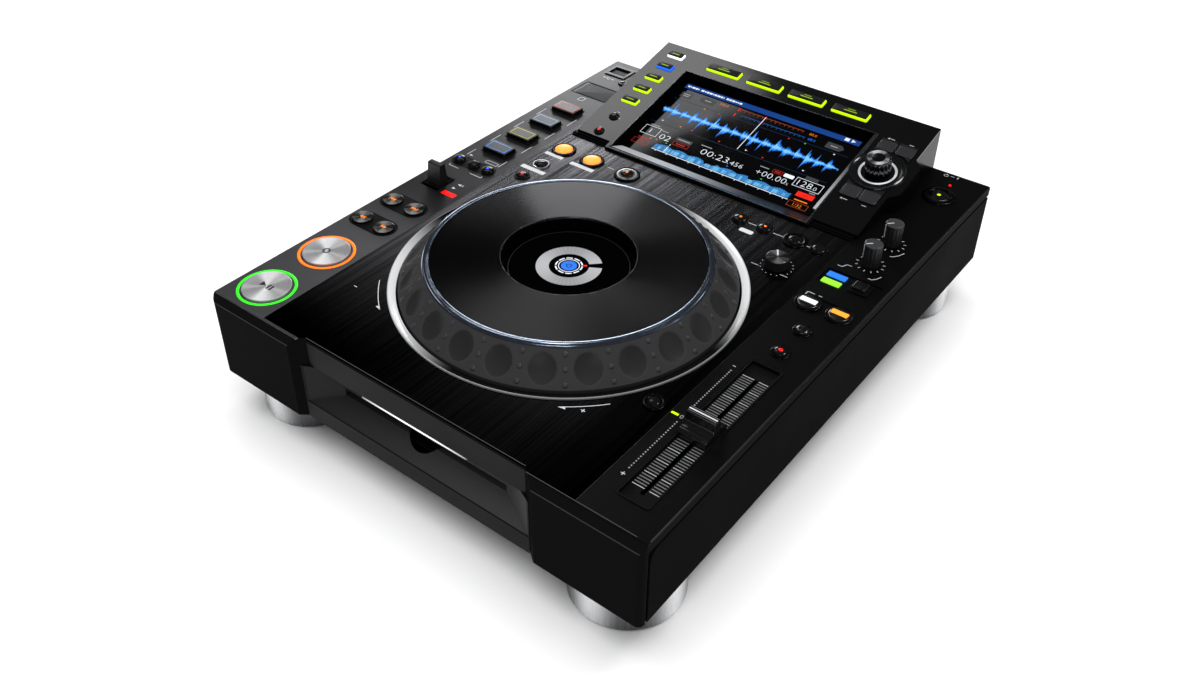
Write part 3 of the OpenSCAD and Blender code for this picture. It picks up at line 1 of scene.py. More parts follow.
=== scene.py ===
import sys
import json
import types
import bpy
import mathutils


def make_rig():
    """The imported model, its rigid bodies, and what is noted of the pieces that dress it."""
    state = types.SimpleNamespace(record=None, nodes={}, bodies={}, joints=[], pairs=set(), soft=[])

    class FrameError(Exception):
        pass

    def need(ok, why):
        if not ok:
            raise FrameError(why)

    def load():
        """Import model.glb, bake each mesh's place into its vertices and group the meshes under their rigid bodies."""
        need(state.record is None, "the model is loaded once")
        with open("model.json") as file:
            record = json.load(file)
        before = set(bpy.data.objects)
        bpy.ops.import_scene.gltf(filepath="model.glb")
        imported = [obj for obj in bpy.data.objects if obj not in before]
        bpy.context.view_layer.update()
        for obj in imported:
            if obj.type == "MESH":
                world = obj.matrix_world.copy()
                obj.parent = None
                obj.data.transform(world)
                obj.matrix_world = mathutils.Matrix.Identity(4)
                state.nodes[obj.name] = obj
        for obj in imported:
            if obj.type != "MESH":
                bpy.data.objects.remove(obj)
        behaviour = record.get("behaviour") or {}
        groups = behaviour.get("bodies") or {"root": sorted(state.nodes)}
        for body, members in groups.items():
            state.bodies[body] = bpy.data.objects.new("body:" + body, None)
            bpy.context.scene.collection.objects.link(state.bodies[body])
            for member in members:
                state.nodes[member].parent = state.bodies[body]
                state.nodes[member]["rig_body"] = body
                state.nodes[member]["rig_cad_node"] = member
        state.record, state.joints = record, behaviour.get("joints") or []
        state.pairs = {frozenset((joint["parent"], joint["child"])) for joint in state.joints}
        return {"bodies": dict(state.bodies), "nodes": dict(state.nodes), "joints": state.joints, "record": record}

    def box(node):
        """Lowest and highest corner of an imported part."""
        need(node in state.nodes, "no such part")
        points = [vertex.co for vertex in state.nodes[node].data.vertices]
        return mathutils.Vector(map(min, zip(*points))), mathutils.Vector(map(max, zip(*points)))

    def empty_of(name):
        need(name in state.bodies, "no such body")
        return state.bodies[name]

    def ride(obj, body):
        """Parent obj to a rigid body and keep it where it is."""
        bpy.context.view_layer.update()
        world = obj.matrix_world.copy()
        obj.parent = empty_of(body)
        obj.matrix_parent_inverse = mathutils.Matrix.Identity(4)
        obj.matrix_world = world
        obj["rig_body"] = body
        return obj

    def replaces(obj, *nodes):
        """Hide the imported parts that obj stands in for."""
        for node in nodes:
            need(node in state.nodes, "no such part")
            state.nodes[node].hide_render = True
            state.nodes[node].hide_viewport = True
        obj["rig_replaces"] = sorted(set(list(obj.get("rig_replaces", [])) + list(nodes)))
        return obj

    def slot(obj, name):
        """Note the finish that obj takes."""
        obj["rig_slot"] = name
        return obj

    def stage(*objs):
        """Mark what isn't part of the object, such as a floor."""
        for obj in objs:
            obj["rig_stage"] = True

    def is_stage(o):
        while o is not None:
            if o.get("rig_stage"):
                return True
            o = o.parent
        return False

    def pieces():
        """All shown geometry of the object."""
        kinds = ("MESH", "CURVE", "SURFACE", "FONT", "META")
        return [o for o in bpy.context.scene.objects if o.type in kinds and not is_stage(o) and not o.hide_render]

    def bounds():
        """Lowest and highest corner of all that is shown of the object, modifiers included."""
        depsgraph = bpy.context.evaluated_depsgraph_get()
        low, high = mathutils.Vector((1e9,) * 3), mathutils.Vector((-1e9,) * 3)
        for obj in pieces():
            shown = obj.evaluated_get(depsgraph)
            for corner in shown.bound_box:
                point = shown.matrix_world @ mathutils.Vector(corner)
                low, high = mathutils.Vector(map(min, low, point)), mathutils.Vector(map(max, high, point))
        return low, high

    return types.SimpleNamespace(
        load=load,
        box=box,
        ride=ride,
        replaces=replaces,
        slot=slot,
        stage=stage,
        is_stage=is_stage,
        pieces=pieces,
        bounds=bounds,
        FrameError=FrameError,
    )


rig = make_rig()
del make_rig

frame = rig.load()

import json
import math

import bmesh
import bpy
import numpy as np
from bpy.props import FloatProperty, FloatVectorProperty, PointerProperty
from mathutils import Matrix, Vector

bl_info = {
    "name": "Tabletop disc player looks",
    "version": (1, 0, 0),
    "blender": (4, 5, 0),
    "location": "View3D > Sidebar > Disc player",
    "description": "Dresses the packed disc player with its finishes, lamps, screen and markings",
    "category": "Object",
}

CAD_BOX = [[float(c) for c in v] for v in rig.bounds()]
MM = 0.001


def node_box(node):
    """Lowest and highest corner of a CAD node, in millimetres."""
    low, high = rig.box(node)
    return np.array(low) / MM, np.array(high) / MM


def node_centre(node):
    """Middle of a CAD node's box, in millimetres."""
    low, high = node_box(node)
    return (low + high) / 2


# Levels and places taken from the frame, in millimetres
DECK = float(node_box("deck_plate")[1][2])
PLATE_LEFT, PLATE_RIGHT = (float(node_box("deck_plate")[i][0]) for i in (0, 1))
FRONT = float(node_box("top_case")[0][1])
DECK_BACK = float(node_box("top_case")[1][1])
JOG = node_centre("jog_top_plate")
JOG_X, JOG_Y = float(JOG[0]), float(JOG[1])

# The slope: its tilt, its front edge, and how deep the screen lies below it
TILT = math.radians(13.4)
SLOPE_Y = DECK_BACK - 115.4
SLOPE_Z = DECK + 3.2
SCREEN_OFF = -9.0

# Rows and columns that several pieces share, in millimetres, and the number of finger dimples
LOOP_Y = 56.7
PAIR_X = (-148.8, -129.0)
SEARCH_Y, TRACK_Y = -95.1, -67.4
PAD_X = -137.4
PAD_ROWS = [26.8 + 26.1 * k for k in range(4)]
KEY_STEP, BROWSE_STEP = 15.3, 35.3
KNOB_X = 137.4
DIMPLES = 24

# Height of the underside and the top of printed marks over the deck, and of printed marks that lie over others
PRINT = (-0.02, 0.05)
PRINT_OVER = (-0.02, 0.06)


def middle(node):
    """Place of a CAD node's middle on the deck, in millimetres."""
    return tuple(float(c) for c in node_centre(node)[:2])


def ray(degrees):
    """Unit vector (cos a, sin a) at an angle a in degrees."""
    a = math.radians(degrees)
    return np.array([math.cos(a), math.sin(a)])


def deck(points):
    """Points (x, y, height over the deck) in millimetres, in the row frame: z is the deck's height plus the third."""
    p = np.asarray(points, float)
    return p + np.array([0.0, 0.0, DECK])


def slope(points):
    """Points (x, distance up the slope v, height over the slope h) in millimetres, in the row frame.
    y = front edge + v cos(tilt) - h sin(tilt), z = front height + v sin(tilt) + h cos(tilt)."""
    p = np.asarray(points, float)
    c, s = math.cos(TILT), math.sin(TILT)
    return np.stack(
        [
            p[..., 0],
            SLOPE_Y + p[..., 1] * c - p[..., 2] * s,
            SLOPE_Z + p[..., 1] * s + p[..., 2] * c,
        ],
        -1,
    )


def jog(points):
    """Points (x, y, height over the deck) measured from the jog wheel's axis, in the row frame."""
    return np.asarray(points, float) + np.array([JOG_X, JOG_Y, DECK])


def plain(points):
    """Points in millimetres that already are in the row frame."""
    return np.asarray(points, float)


# ---------------------------------------------------------------- meshes


def add_piece(name, verts, faces, body, material, slot, smooth=35.0, hides=(), weld=False):
    """Makes one object from vertices in millimetres and faces, shades it smooth up to an angle in degrees,
    lets it ride on a CAD body and names the slot of its finish."""
    mesh = bpy.data.meshes.new(name)
    mesh.from_pydata((np.asarray(verts, float) * MM).tolist(), [], [list(f) for f in faces])
    if weld:
        work = bmesh.new()
        work.from_mesh(mesh)
        bmesh.ops.remove_doubles(work, verts=work.verts, dist=1e-7)
        bmesh.ops.recalc_face_normals(work, faces=work.faces)
        work.to_mesh(mesh)
        work.free()
    mesh.update()
    if smooth:
        mesh.shade_smooth()
        mesh.set_sharp_from_angle(angle=math.radians(smooth))
    mesh.materials.append(material)
    obj = bpy.data.objects.new(name, mesh)
    bpy.context.scene.collection.objects.link(obj)
    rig.ride(obj, body)
    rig.slot(obj, slot)
    if hides:
        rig.replaces(obj, *hides)
    return obj


def grid_faces(nu, nv, close_u=False, close_v=False, start=0):
    """Quads of a grid of nu by nv vertices: vertex (i, j) has number start + i nv + j."""
    i, j = np.meshgrid(np.arange(nu if close_u else nu - 1), np.arange(nv if close_v else nv - 1), indexing="ij")
    i2, j2 = (i + 1) % nu, (j + 1) % nv
    quads = np.stack([i * nv + j, i2 * nv + j, i2 * nv + j2, i * nv + j2], -1)
    return (quads.reshape(-1, 4) + start).tolist()


def turned(profile, steps=128, closed=True):
    """Vertices and faces of a profile of (radius, height) turned about the vertical axis:
    the point at angle a is (r cos a, r sin a, h). A closed profile runs anticlockwise seen with r to the right."""
    p = np.asarray(profile, float)
    a = np.linspace(0, 2 * math.pi, steps, endpoint=False)[:, None]
    verts = np.stack([p[:, 0] * np.cos(a), p[:, 0] * np.sin(a), np.broadcast_to(p[:, 1], (steps, len(p)))], -1)
    return verts.reshape(-1, 3), grid_faces(steps, len(p), close_u=True, close_v=closed)


def outline_box(w, d, r=0.0, steps=6, x=0.0, y=0.0):
    """Outline of a box w by d with corners of radius r: each corner's points are its centre plus r (cos a, sin a)."""
    if r <= 0:
        return np.array(
            [[x + w / 2, y - d / 2], [x + w / 2, y + d / 2], [x - w / 2, y + d / 2], [x - w / 2, y - d / 2]]
        )
    a = np.linspace(0, math.pi / 2, steps + 1)
    parts = []
    for k, (sx, sy) in enumerate(((1, -1), (1, 1), (-1, 1), (-1, -1))):
        t = a + (k - 1) * math.pi / 2
        parts.append(np.stack([x + sx * (w / 2 - r) + r * np.cos(t), y + sy * (d / 2 - r) + r * np.sin(t)], -1))
    return np.concatenate(parts)


def outline_circle(r, steps=48, x=0.0, y=0.0):
    """Outline of a circle: (x + r cos a, y + r sin a)."""
    a = np.linspace(0, 2 * math.pi, steps, endpoint=False)
    return np.stack([x + r * np.cos(a), y + r * np.sin(a)], -1)


def triangle(x, y, w, h, way=1):
    """Outline of a triangle pointing along +x (way 1) or -x (way -1)."""
    p = [(x - way * w / 2, y - h / 2), (x + way * w / 2, y), (x - way * w / 2, y + h / 2)]
    return p if way > 0 else p[::-1]


def rect(x, y, w, h):
    """Outline of a plain rectangle from its centre and size."""
    return [(x - w / 2, y - h / 2), (x + w / 2, y - h / 2), (x + w / 2, y + h / 2), (x - w / 2, y + h / 2)]


def inset(outline, d):
    """Outline moved inwards by d along the mean normal of the two sides at each corner, lengthened by the mitre."""
    p = np.asarray(outline, float)
    e1 = p - np.roll(p, 1, 0)
    e2 = np.roll(p, -1, 0) - p
    n1 = np.stack([-e1[:, 1], e1[:, 0]], -1) / (np.linalg.norm(e1, axis=1)[:, None] + 1e-12)
    n2 = np.stack([-e2[:, 1], e2[:, 0]], -1) / (np.linalg.norm(e2, axis=1)[:, None] + 1e-12)
    m = n1 + n2
    m /= (m * m).sum(1)[:, None] / 2 + 1e-12
    return p + m * d


def slab(outline, z0, z1, edge=0.0, steps=3):
    """Closed slab over an anticlockwise outline between two heights. Its upper edge is rounded with radius edge:
    ring k is inset by edge (1 - cos t) at height z1 - edge (1 - sin t), with t from 0 to 90 degrees."""
    rings = [(0.0, z0)]
    if edge > 0:
        for t in np.linspace(0, math.pi / 2, steps + 1):
            rings.append((edge * (1 - math.cos(t)), z1 - edge * (1 - math.sin(t))))
    else:
        rings.append((0.0, z1))
    n = len(outline)
    verts = np.concatenate([np.column_stack([inset(outline, d) if d else outline, np.full(n, z)]) for d, z in rings])
    faces = []
    for k in range(len(rings) - 1):
        i = np.arange(n)
        j = (i + 1) % n
        faces += np.stack([k * n + i, k * n + j, (k + 1) * n + j, (k + 1) * n + i], -1).tolist()
    faces.append(list(range(n))[::-1])
    faces.append([(len(rings) - 1) * n + i for i in range(n)])
    return verts, faces


def frame_slab(outline, width, z0, z1):
    """Closed frame of a given width just inside an outline, between two heights."""
    inner = inset(outline, width)
    n = len(outline)
    verts = np.concatenate(
        [np.column_stack([o, np.full(n, z)]) for o, z in ((outline, z0), (outline, z1), (inner, z1), (inner, z0))]
    )
    i = np.arange(n)
    j = (i + 1) % n
    faces = []
    for k in range(4):
        m = (k + 1) % 4
        faces += np.stack([k * n + i, k * n + j, m * n + j, m * n + i], -1).tolist()
    return verts, faces


class Heap:
    """Gathers many small solids into one mesh. place turns local points into the row frame: the deck's, if none is
    given."""

    def __init__(self, place=deck):
        self.place = place
        self.verts = []
        self.faces = []
        self.count = 0

    def add(self, verts, faces, place=None):
        """Adds one solid."""
        v = (place or self.place)(verts)
        self.verts.append(v)
        self.faces += [[int(i) + self.count for i in f] for f in faces]
        self.count += len(v)
        return self

    def slab(self, outline, z0, z1, edge=0.0, steps=3):
        """Adds a slab over an outline."""
        return self.add(*slab(np.asarray(outline, float), z0, z1, edge, steps))

    def frame(self, outline, width, z0, z1):
        """Adds a frame inside an outline."""
        return self.add(*frame_slab(np.asarray(outline, float), width, z0, z1))

    def turned(self, profile, x=0.0, y=0.0, steps=64):
        """Adds a turned solid about the upright line through (x, y)."""
        v, f = turned(profile, steps)
        return self.add(v + np.array([x, y, 0.0]), f)

    def line(self, a, b, width, z0, z1):
        """Adds a straight bar from a to b: its corners are the ends plus and minus half the width across it."""
        a, b = np.asarray(a, float), np.asarray(b, float)
        d = (b - a) / (np.linalg.norm(b - a) + 1e-12)
        n = np.array([-d[1], d[0]]) * width / 2
        return self.slab([a - n, b - n, b + n, a + n], z0, z1)

    def bars(self, heights, *boxes):
        """Adds plain bars between two heights, each from its middle x, y and its size."""
        for box in boxes:
            self.slab(rect(*box), *heights)
        return self

    def arc(self, x, y, r0, r1, a0, a1, z0, z1, steps=24):
        """Adds a band between two radii and two angles in degrees."""
        t = np.radians(np.linspace(a0, a1, steps))
        outer = np.stack([x + r1 * np.cos(t), y + r1 * np.sin(t)], -1)
        inner = np.stack([x + r0 * np.cos(t[::-1]), y + r0 * np.sin(t[::-1])], -1)
        return self.band(outer, inner[::-1], z0, z1)

    def band(self, outer, inner, z0, z1):
        """Adds a strip between two lines of points with the same number of points."""
        n = len(outer)
        v = np.concatenate(
            [np.column_stack([p, np.full(n, z)]) for p, z in ((outer, z0), (outer, z1), (inner, z1), (inner, z0))]
        )
        i = np.arange(n - 1)
        faces = []
        for k in range(4):
            m = (k + 1) % 4
            faces += np.stack([k * n + i, k * n + i + 1, m * n + i + 1, m * n + i], -1).tolist()
        faces.append([0, n, 2 * n, 3 * n])
        faces.append([n - 1, 4 * n - 1, 3 * n - 1, 2 * n - 1])
        return self.add(v, faces)

    def block(self, low, high):
        """Adds a solid between two rings of four corners."""
        sides = [(i, (i + 1) % 4, (i + 1) % 4 + 4, i + 4) for i in range(4)]
        return self.add(np.concatenate([low, high]), [(3, 2, 1, 0), (4, 5, 6, 7), *sides])

    def ring(self, x, y, r0, r1, z0, z1, steps=48):
        """Adds a flat ring."""
        return self.turned([(r1, z0), (r1, z1), (r0, z1), (r0, z0)], x, y, steps)

    def fix(self, name, material, slot, smooth=35.0, hides=()):
        """Makes the object as a piece of the fixed body."""
        return self.make(name, "player", material, slot, smooth, hides)

    def own(self, name, body, material, smooth=35.0, hides=()):
        """Makes the object as a piece of a moving body whose slot has the body's name."""
        return self.make(name, body, material, body, smooth, hides)

    def make(self, name, body, material, slot, smooth=35.0, hides=()):
        """Makes the object."""
        return add_piece(name, np.concatenate(self.verts), self.faces, body, material, slot, smooth, hides, weld=True)


# ---------------------------------------------------------------- materials


class Value:
    """A number socket of a material. Arithmetic on it adds Math nodes to that material."""

    def __init__(self, paint, socket):
        self.paint = paint
        self.socket = socket

    def _math(self, operation, *inputs):
        return self.paint.node("ShaderNodeMath", {"operation": operation}, dict(enumerate(inputs)))

    def __add__(self, other):
        return self._math("ADD", self, other)

    def __sub__(self, other):
        return self._math("SUBTRACT", self, other)

    def __mul__(self, other):
        return self._math("MULTIPLY", self, other)

    def __truediv__(self, other):
        return self._math("DIVIDE", self, other)

    def __pow__(self, other):
        return self._math("POWER", self, other)

    def __rsub__(self, other):
        return self._math("SUBTRACT", other, self)

    def __rtruediv__(self, other):
        return self._math("DIVIDE", other, self)

    __radd__ = __add__
    __rmul__ = __mul__

    def __gt__(self, other):
        return self._math("GREATER_THAN", self, other)

    def __lt__(self, other):
        return self._math("LESS_THAN", self, other)

    def sine(self):
        return self._math("SINE", self)

    def size(self):
        return self._math("ABSOLUTE", self)

    def top(self, other):
        return self._math("MAXIMUM", self, other)

    def angle(self, across):
        """Angle whose sine side is this value and whose cosine side is the other."""
        return self._math("ARCTAN2", self, across)

    def ramp(self, a, b, low=0.0, high=1.0):
        """Straight line from low at a to high at b, held at both ends."""
        return self.paint.node("ShaderNodeMapRange", {"clamp": True}, {0: self, 1: a, 2: b, 3: low, 4: high})

    def ease(self, a, b, low=0.0, high=1.0):
        """Smooth step from low at a to high at b."""
        return self.paint.node(
            "ShaderNodeMapRange", {"interpolation_type": "SMOOTHSTEP"}, {0: self, 1: a, 2: b, 3: low, 4: high}
        )


class Paint:
    """One procedural material around a Principled shader."""

    def __init__(self, name, colour=(0.8, 0.8, 0.8), rough=0.5, metal=0.0, gloss=0.5, **constants):
        self.material = bpy.data.materials.new(name)
        self.material.use_nodes = True
        self.tree = self.material.node_tree
        self.shader = next(n for n in self.tree.nodes if n.type == "BSDF_PRINCIPLED")
        self.set(
            **{"Base Color": (*colour, 1.0), "Roughness": rough, "Metallic": metal, "Specular IOR Level": gloss},
            **constants,
        )
        self._spot = None

    def set(self, **inputs):
        """Sets or links sockets of the shader."""
        for key, value in inputs.items():
            self._plug(self.shader.inputs[key], value)
        return self

    def _plug(self, socket, value):
        if isinstance(value, Value):
            self.tree.links.new(value.socket, socket)
        elif isinstance(value, (tuple, list)) and socket.type == "RGBA" and len(value) == 3:
            socket.default_value = (*value, 1.0)
        else:
            socket.default_value = value

    def node(self, kind, settings=None, inputs=None, out=0):
        """Adds a node: its settings first, then its sockets, and returns one output."""
        n = self.tree.nodes.new(kind)
        for key, value in (settings or {}).items():
            setattr(n, key, value)
        for key, value in (inputs or {}).items():
            self._plug(n.inputs[key], value)
        return Value(self, n.outputs[out])

    def spot(self):
        """Object coordinates, in metres, as x, y, z and the vector."""
        if self._spot is None:
            c = self.node("ShaderNodeTexCoord", out=3)
            self._spot = [self.node("ShaderNodeSeparateXYZ", None, {0: c}, k) for k in range(3)] + [c]
        return self._spot

    def noise(self, scale, stretch=(1, 1, 1), detail=2.0, rough=0.5, out=0):
        """Noise on Object coordinates stretched by three factors."""
        v = self.node("ShaderNodeVectorMath", {"operation": "MULTIPLY"}, {0: self.spot()[3], 1: stretch})
        return self.node(
            "ShaderNodeTexNoise", None, {"Vector": v, "Scale": scale, "Detail": detail, "Roughness": rough}, out
        )

    def mix(self, factor, a, b):
        """Colour a where factor is 0, colour b where it is 1."""
        return self.node("ShaderNodeMix", {"data_type": "RGBA"}, {0: factor, 6: a, 7: b}, 2)

    def scaled(self, colour, shade):
        """A colour times a varying shade."""
        return self.node("ShaderNodeVectorMath", {"operation": "SCALE"}, {0: tuple(colour), "Scale": shade})

    def rings(self, radius, detail):
        """Noise that changes with one distance only, so it draws fine rings."""
        return self.node("ShaderNodeTexNoise", {"noise_dimensions": "1D"}, {"W": radius, "Detail": detail})

    def off_axis(self):
        """Distances along x and y from the jog wheel's axis."""
        x, y, _, _ = self.spot()
        return x - JOG_X * MM, y - JOG_Y * MM

    def glow(self, power, colour):
        """Lights the surface in a colour."""
        self.set(**{"Emission Strength": power, "Emission Color": colour})
        return self

    def bump(self, height, strength=0.2, distance=0.0002):
        """Feeds a height to the shader's normal."""
        n = self.node("ShaderNodeBump", None, {"Height": height, "Strength": strength, "Distance": distance})
        self.set(Normal=n)
        return self


def rgb(r, g, b):
    """Linear colour from the usual 0 to 255 numbers: c / 12.92 below 0.04045, else ((c + 0.055) / 1.055) ^ 2.4."""
    c = np.array([r, g, b], float) / 255
    return tuple(float(x) for x in np.where(c <= 0.04045, c / 12.92, ((c + 0.055) / 1.055) ** 2.4))


# ---------------------------------------------------------------- finishes


class Finishes:
    """Every material of the player, made once and shared. Most are rows of the tables of finishes, and the others
    have a function of their own."""

    def __init__(self, looks):
        self.looks = looks
        self.made = {}

    def __getattr__(self, name):
        if name.startswith("_"):
            raise AttributeError(name)
        if name not in self.made:
            self.made[name] = self.paint(name)
        return self.made[name].material

    def paint(self, name):
        """Makes one finish."""
        if name in LAMPS:
            label, colour = LAMPS[name]
            return lamp(label, rgb(*colour), self.looks.lamp_power)
        if name in TURNED:
            label, dark, light, *rest = TURNED[name]
            return spun(label, rgb(*dark), rgb(*light), *rest)
        for maker, rows in ((moulded, MOULDED), (lamp, LIT), (screen, SCREEN), (rubbed, RUBBED)):
            if name in rows:
                label, colour, *rest = rows[name]
                return maker(label, rgb(*colour), *rest)
        return globals()["paint_" + name](self.looks)


def moulded(name, colour, rough, gloss, grain=0.08, size=2600.0, spread=0.06):
    """Moulded plastic: fine grain in height and a slow change of roughness."""
    p = Paint(name, colour, rough, 0.0, gloss)
    fine = p.noise(size, detail=3)
    slow = p.noise(18.0, detail=2)
    p.set(Roughness=slow.ramp(0.3, 0.7, rough - spread, rough + spread))
    p.bump(fine, grain, 0.00012)
    return p


def spun(name, dark, light, rough, metal=0.6):
    """Metal turned on a lathe, with a painted highlight: bright fans from the axis are painted into its colour, between
    a painted dark shade and a light one. With a the angle about the axis, stored in the attribute named axis, the shade
    is the cube of (1 + sin(2 a + 3.42)) / 2, plus narrower painted fans of five times the angle and faint rings."""
    p = Paint(name, light, rough, metal, 0.5, **{"Anisotropic": 0.75, "Anisotropic Rotation": 0.25})
    at = p.node("ShaderNodeAttribute", {"attribute_name": "axis"}, out=1)
    dx, dy = (p.node("ShaderNodeSeparateXYZ", None, {0: at}, k) for k in (0, 1))
    angle = dy.angle(dx)
    r = (dx * dx + dy * dy) ** 0.5
    ring = p.rings(r * 3000.0, 1.0)
    # Painted highlight: the bow and the narrower fans paint bright and dark sectors into the colour
    bow = ((angle * 2.0 + 3.42).sine() * 0.5 + 0.5) ** 3.0
    fans = ((angle * 5.0 + 1.0).sine() * 0.5 + 0.5) ** 4.0
    shade = (bow * 0.85 + fans * 0.3 + ring * 0.16 - 0.05).ramp(0.0, 1.0)
    p.set(**{"Base Color": p.mix(shade, dark, light), "Roughness": ring.ramp(0.3, 0.7, rough * 0.9, rough * 1.1)})
    return p


def lamp(name, colour, power, spread=0.12, scale=900.0):
    """Lit plastic: it glows in one colour with a slight unevenness of its light."""
    p = Paint(name, tuple(c * 0.5 for c in colour), 0.3, 0.0, 0.5)
    glow = p.noise(scale, detail=1).ramp(0.3, 0.7)
    low, high = tuple(c * (1 - spread) for c in colour), colour
    p.glow(power, p.mix(glow, low, high))
    return p


def screen(name, colour, power):
    """Part of a lit screen: fine rows of dots dim the light a little."""
    p = Paint(name, tuple(c * 0.2 for c in colour), 0.25, 0.0, 0.4)
    x, y, _, _ = p.spot()
    dot = ((x * 9000.0).sine() * 0.5 + 0.5) * 0.08 + ((y * 9000.0).sine() * 0.5 + 0.5) * 0.06
    p.glow(power, p.mix(dot, colour, (0.0, 0.0, 0.0)))
    return p


def rubbed(name, colour, metal, gloss, size, low, high, stretch=(1, 1, 1), anisotropic=0.0):
    """Smooth metal or shiny plastic whose roughness wanders between two values."""
    p = Paint(name, colour, (low + high) / 2, metal, gloss, Anisotropic=anisotropic)
    p.set(Roughness=p.noise(size, stretch).ramp(0.3, 0.7, low, high))
    return p


# Moulded plastics and prints: name, colour, roughness, gloss, grain, grain size, and the spread of roughness
MOULDED = {
    "chassis": ("black_sheet_paint", (15, 15, 16), 0.36, 0.0012, 0.12, 1500.0),
    "rubber": ("rubber", (16, 16, 16), 0.8, 0.25, 0.3, 1800.0),
    "knob": ("knob_black", (24, 24, 25), 0.42, 0.4, 0.1, 3200.0),  # Soft black plastic of the knobs and keys
    "key": ("button_black", (20, 20, 21), 0.32, 0.5, 0.05, 3600.0),  # Smooth black plastic of small buttons
    "pad_key": ("pad_dark", (30, 30, 32), 0.36, 0.45, 0.08, 2800.0),  # Dark translucent plastic of the hot cue pads
    "dark_recess": ("recess_black", (9, 9, 9), 0.6, 0.15, 0.1, 1800.0),  # Matte black inside recesses
    # Dark satin plastic of the jog ring with a very fine grain
    "jog_ring": ("jog_ring", (51, 51, 52), 0.42, 0.04, 0.05, 3600.0),
    "print_white": ("white_print", (200, 202, 205), 0.45, 0.3, 0.05, 3000.0),  # White printed ink
    "jog_stud": ("jog_stud", (52, 52, 54), 0.3, 0.5, 0.04, 3000.0),  # Slightly lighter rubbery studs of the jog ring
    "print_dark": ("dark_engraving", (34, 36, 36), 0.5, 0.3, 0.05, 3000.0),
    "pill": ("button_well", (7, 7, 7), 0.5, 0.1, 0.05, 2600.0),  # Black wells under button pairs
    "tick_white": ("scale_white", (176, 178, 180), 0.5, 0.3, 0.05, 3000.0),
    "tick_grey": ("scale_grey", (104, 105, 106), 0.5, 0.3, 0.05, 3000.0),
    "door": ("card_lid", (62, 63, 65), 0.55, 0.25, 0.1, 2600.0),  # Satin lid of the card slot
    "case_edge": ("case_edge_line", (66, 66, 66), 0.4, 0.1, 0.05, 2600.0),  # Painted highlight along the front edge of the case
    "pad_window": ("pad_window", (62, 64, 67), 0.3, 0.6, 0.04, 2800.0),  # Grey translucent window of a pad
    "round_screen": ("round_display_black", (2, 2, 2), 0.3, 0.0, 0.02, 2600.0),  # Black face of the jog wheel's display
    "dimple": ("jog_hollow", (37, 37, 38), 0.34, 0.2, 0.02, 3200.0),  # Smooth hollows of the jog ring, painted darker as shade
    "knob_top_satin": ("satin_knob_top", (52, 52, 53), 0.35, 0.6, 0.05, 3000.0),  # Satin dark top of the tall knobs
    "label_grey": ("pale_label", (196, 197, 199), 0.45, 0.3, 0.05, 3000.0),  # Pale printed label bars
    "pad_gloss": ("selector_pad", (40, 40, 42), 0.22, 0.7, 0.02, 2800.0, 0.03),  # Shiny dark pads round the selector
    "dish": ("selector_dish", (14, 14, 15), 0.16, 0.7, 0.01, 2800.0, 0.03),  # Shiny black dish under the selector
}

# Lamps at the power of the settings: name and colour
LAMPS = {
    "lamp_lime": ("lime_light", (170, 215, 0)),  # Lime light of the browse keys
    "lamp_blue": ("blue_light", (20, 90, 235)),
    "lamp_red": ("red_light", (225, 12, 12)),
    "lamp_white": ("white_light", (225, 230, 235)),
}

# Lit parts with a power of their own: name, colour, power, unevenness
LIT = {
    "glyph_orange": ("orange_glyph", (240, 128, 26), 0.9),  # Orange lit glyphs of the search and track buttons
    "bar_white": ("lit_white_bar", (226, 229, 232), 0.95, 0.06),
    "bar_orange": ("lit_orange_bar", (245, 160, 50), 1.0, 0.08),
    "bar_blue": ("lit_blue_bar", (38, 112, 226), 1.05, 0.08),
    "bar_green": ("lit_green_bar", (140, 222, 50), 1.0, 0.08),
    "pad_line_blue": ("blue_pad_line", (60, 132, 220), 0.6),
    "pad_line_yellow": ("yellow_pad_line", (180, 172, 24), 0.6),
    "pad_line_pale": ("pale_pad_line", (112, 158, 204), 0.6),  # Pale blue line round a pad
    "pad_line_red": ("red_pad_line", (196, 52, 22), 0.55),
    "key_mark": ("key_mark", (150, 190, 20), 0.5),  # Dim lit marks on the display's keys
}

# Colours of the screen: name, colour, power
SCREEN = {
    "screen_grey": ("screen_grey", (150, 152, 155), 0.9),
    "screen_blue": ("screen_blue", (30, 110, 235), 1.2),
    "screen_header": ("screen_header", (24, 62, 130), 1.1),  # Dark blue bar at the screen's top
    "screen_dark": ("screen_dark", (22, 28, 40), 1.0),  # Dark blue-grey boxes on the screen
    "screen_white": ("screen_white", (225, 232, 240), 1.1),
    "screen_orange": ("screen_orange", (240, 120, 20), 1.2),
    "screen_red": ("screen_red", (225, 30, 20), 1.2),
    "screen_wave_core": ("screen_wave_core", (122, 192, 246), 1.0),  # Palest blue of the sound wave's strongest beats
    "screen_wave_mid": ("screen_wave_mid", (52, 142, 236), 1.0),  # Middle blue of the sound wave
    "screen_wave_deep": ("screen_wave_deep", (20, 84, 186), 1.0),  # Deep blue of the sound wave's tails
    "screen_green": ("screen_green", (60, 200, 40), 1.0),
    "screen_tab": ("screen_tab", (58, 60, 63), 1.0),  # Dark grey tabs of the screen
    "screen_line": ("screen_rule", (16, 44, 74), 1.0),  # Dim blue rules of the screen
    "screen_over_pale": ("screen_overview_pale", (96, 170, 214), 1.0),
    "screen_over_blue": ("screen_overview_blue", (44, 122, 186), 1.0),
    "screen_rust": ("screen_rust", (164, 62, 14), 1.0),  # Dim orange of the screen's upper ruler
    "screen_sea": ("screen_sea", (26, 88, 164), 1.0),  # Dim blue of the screen's lower ruler
    "screen_wine": ("screen_wine", (176, 34, 16), 1.0),  # Dark red outlines of the screen
}
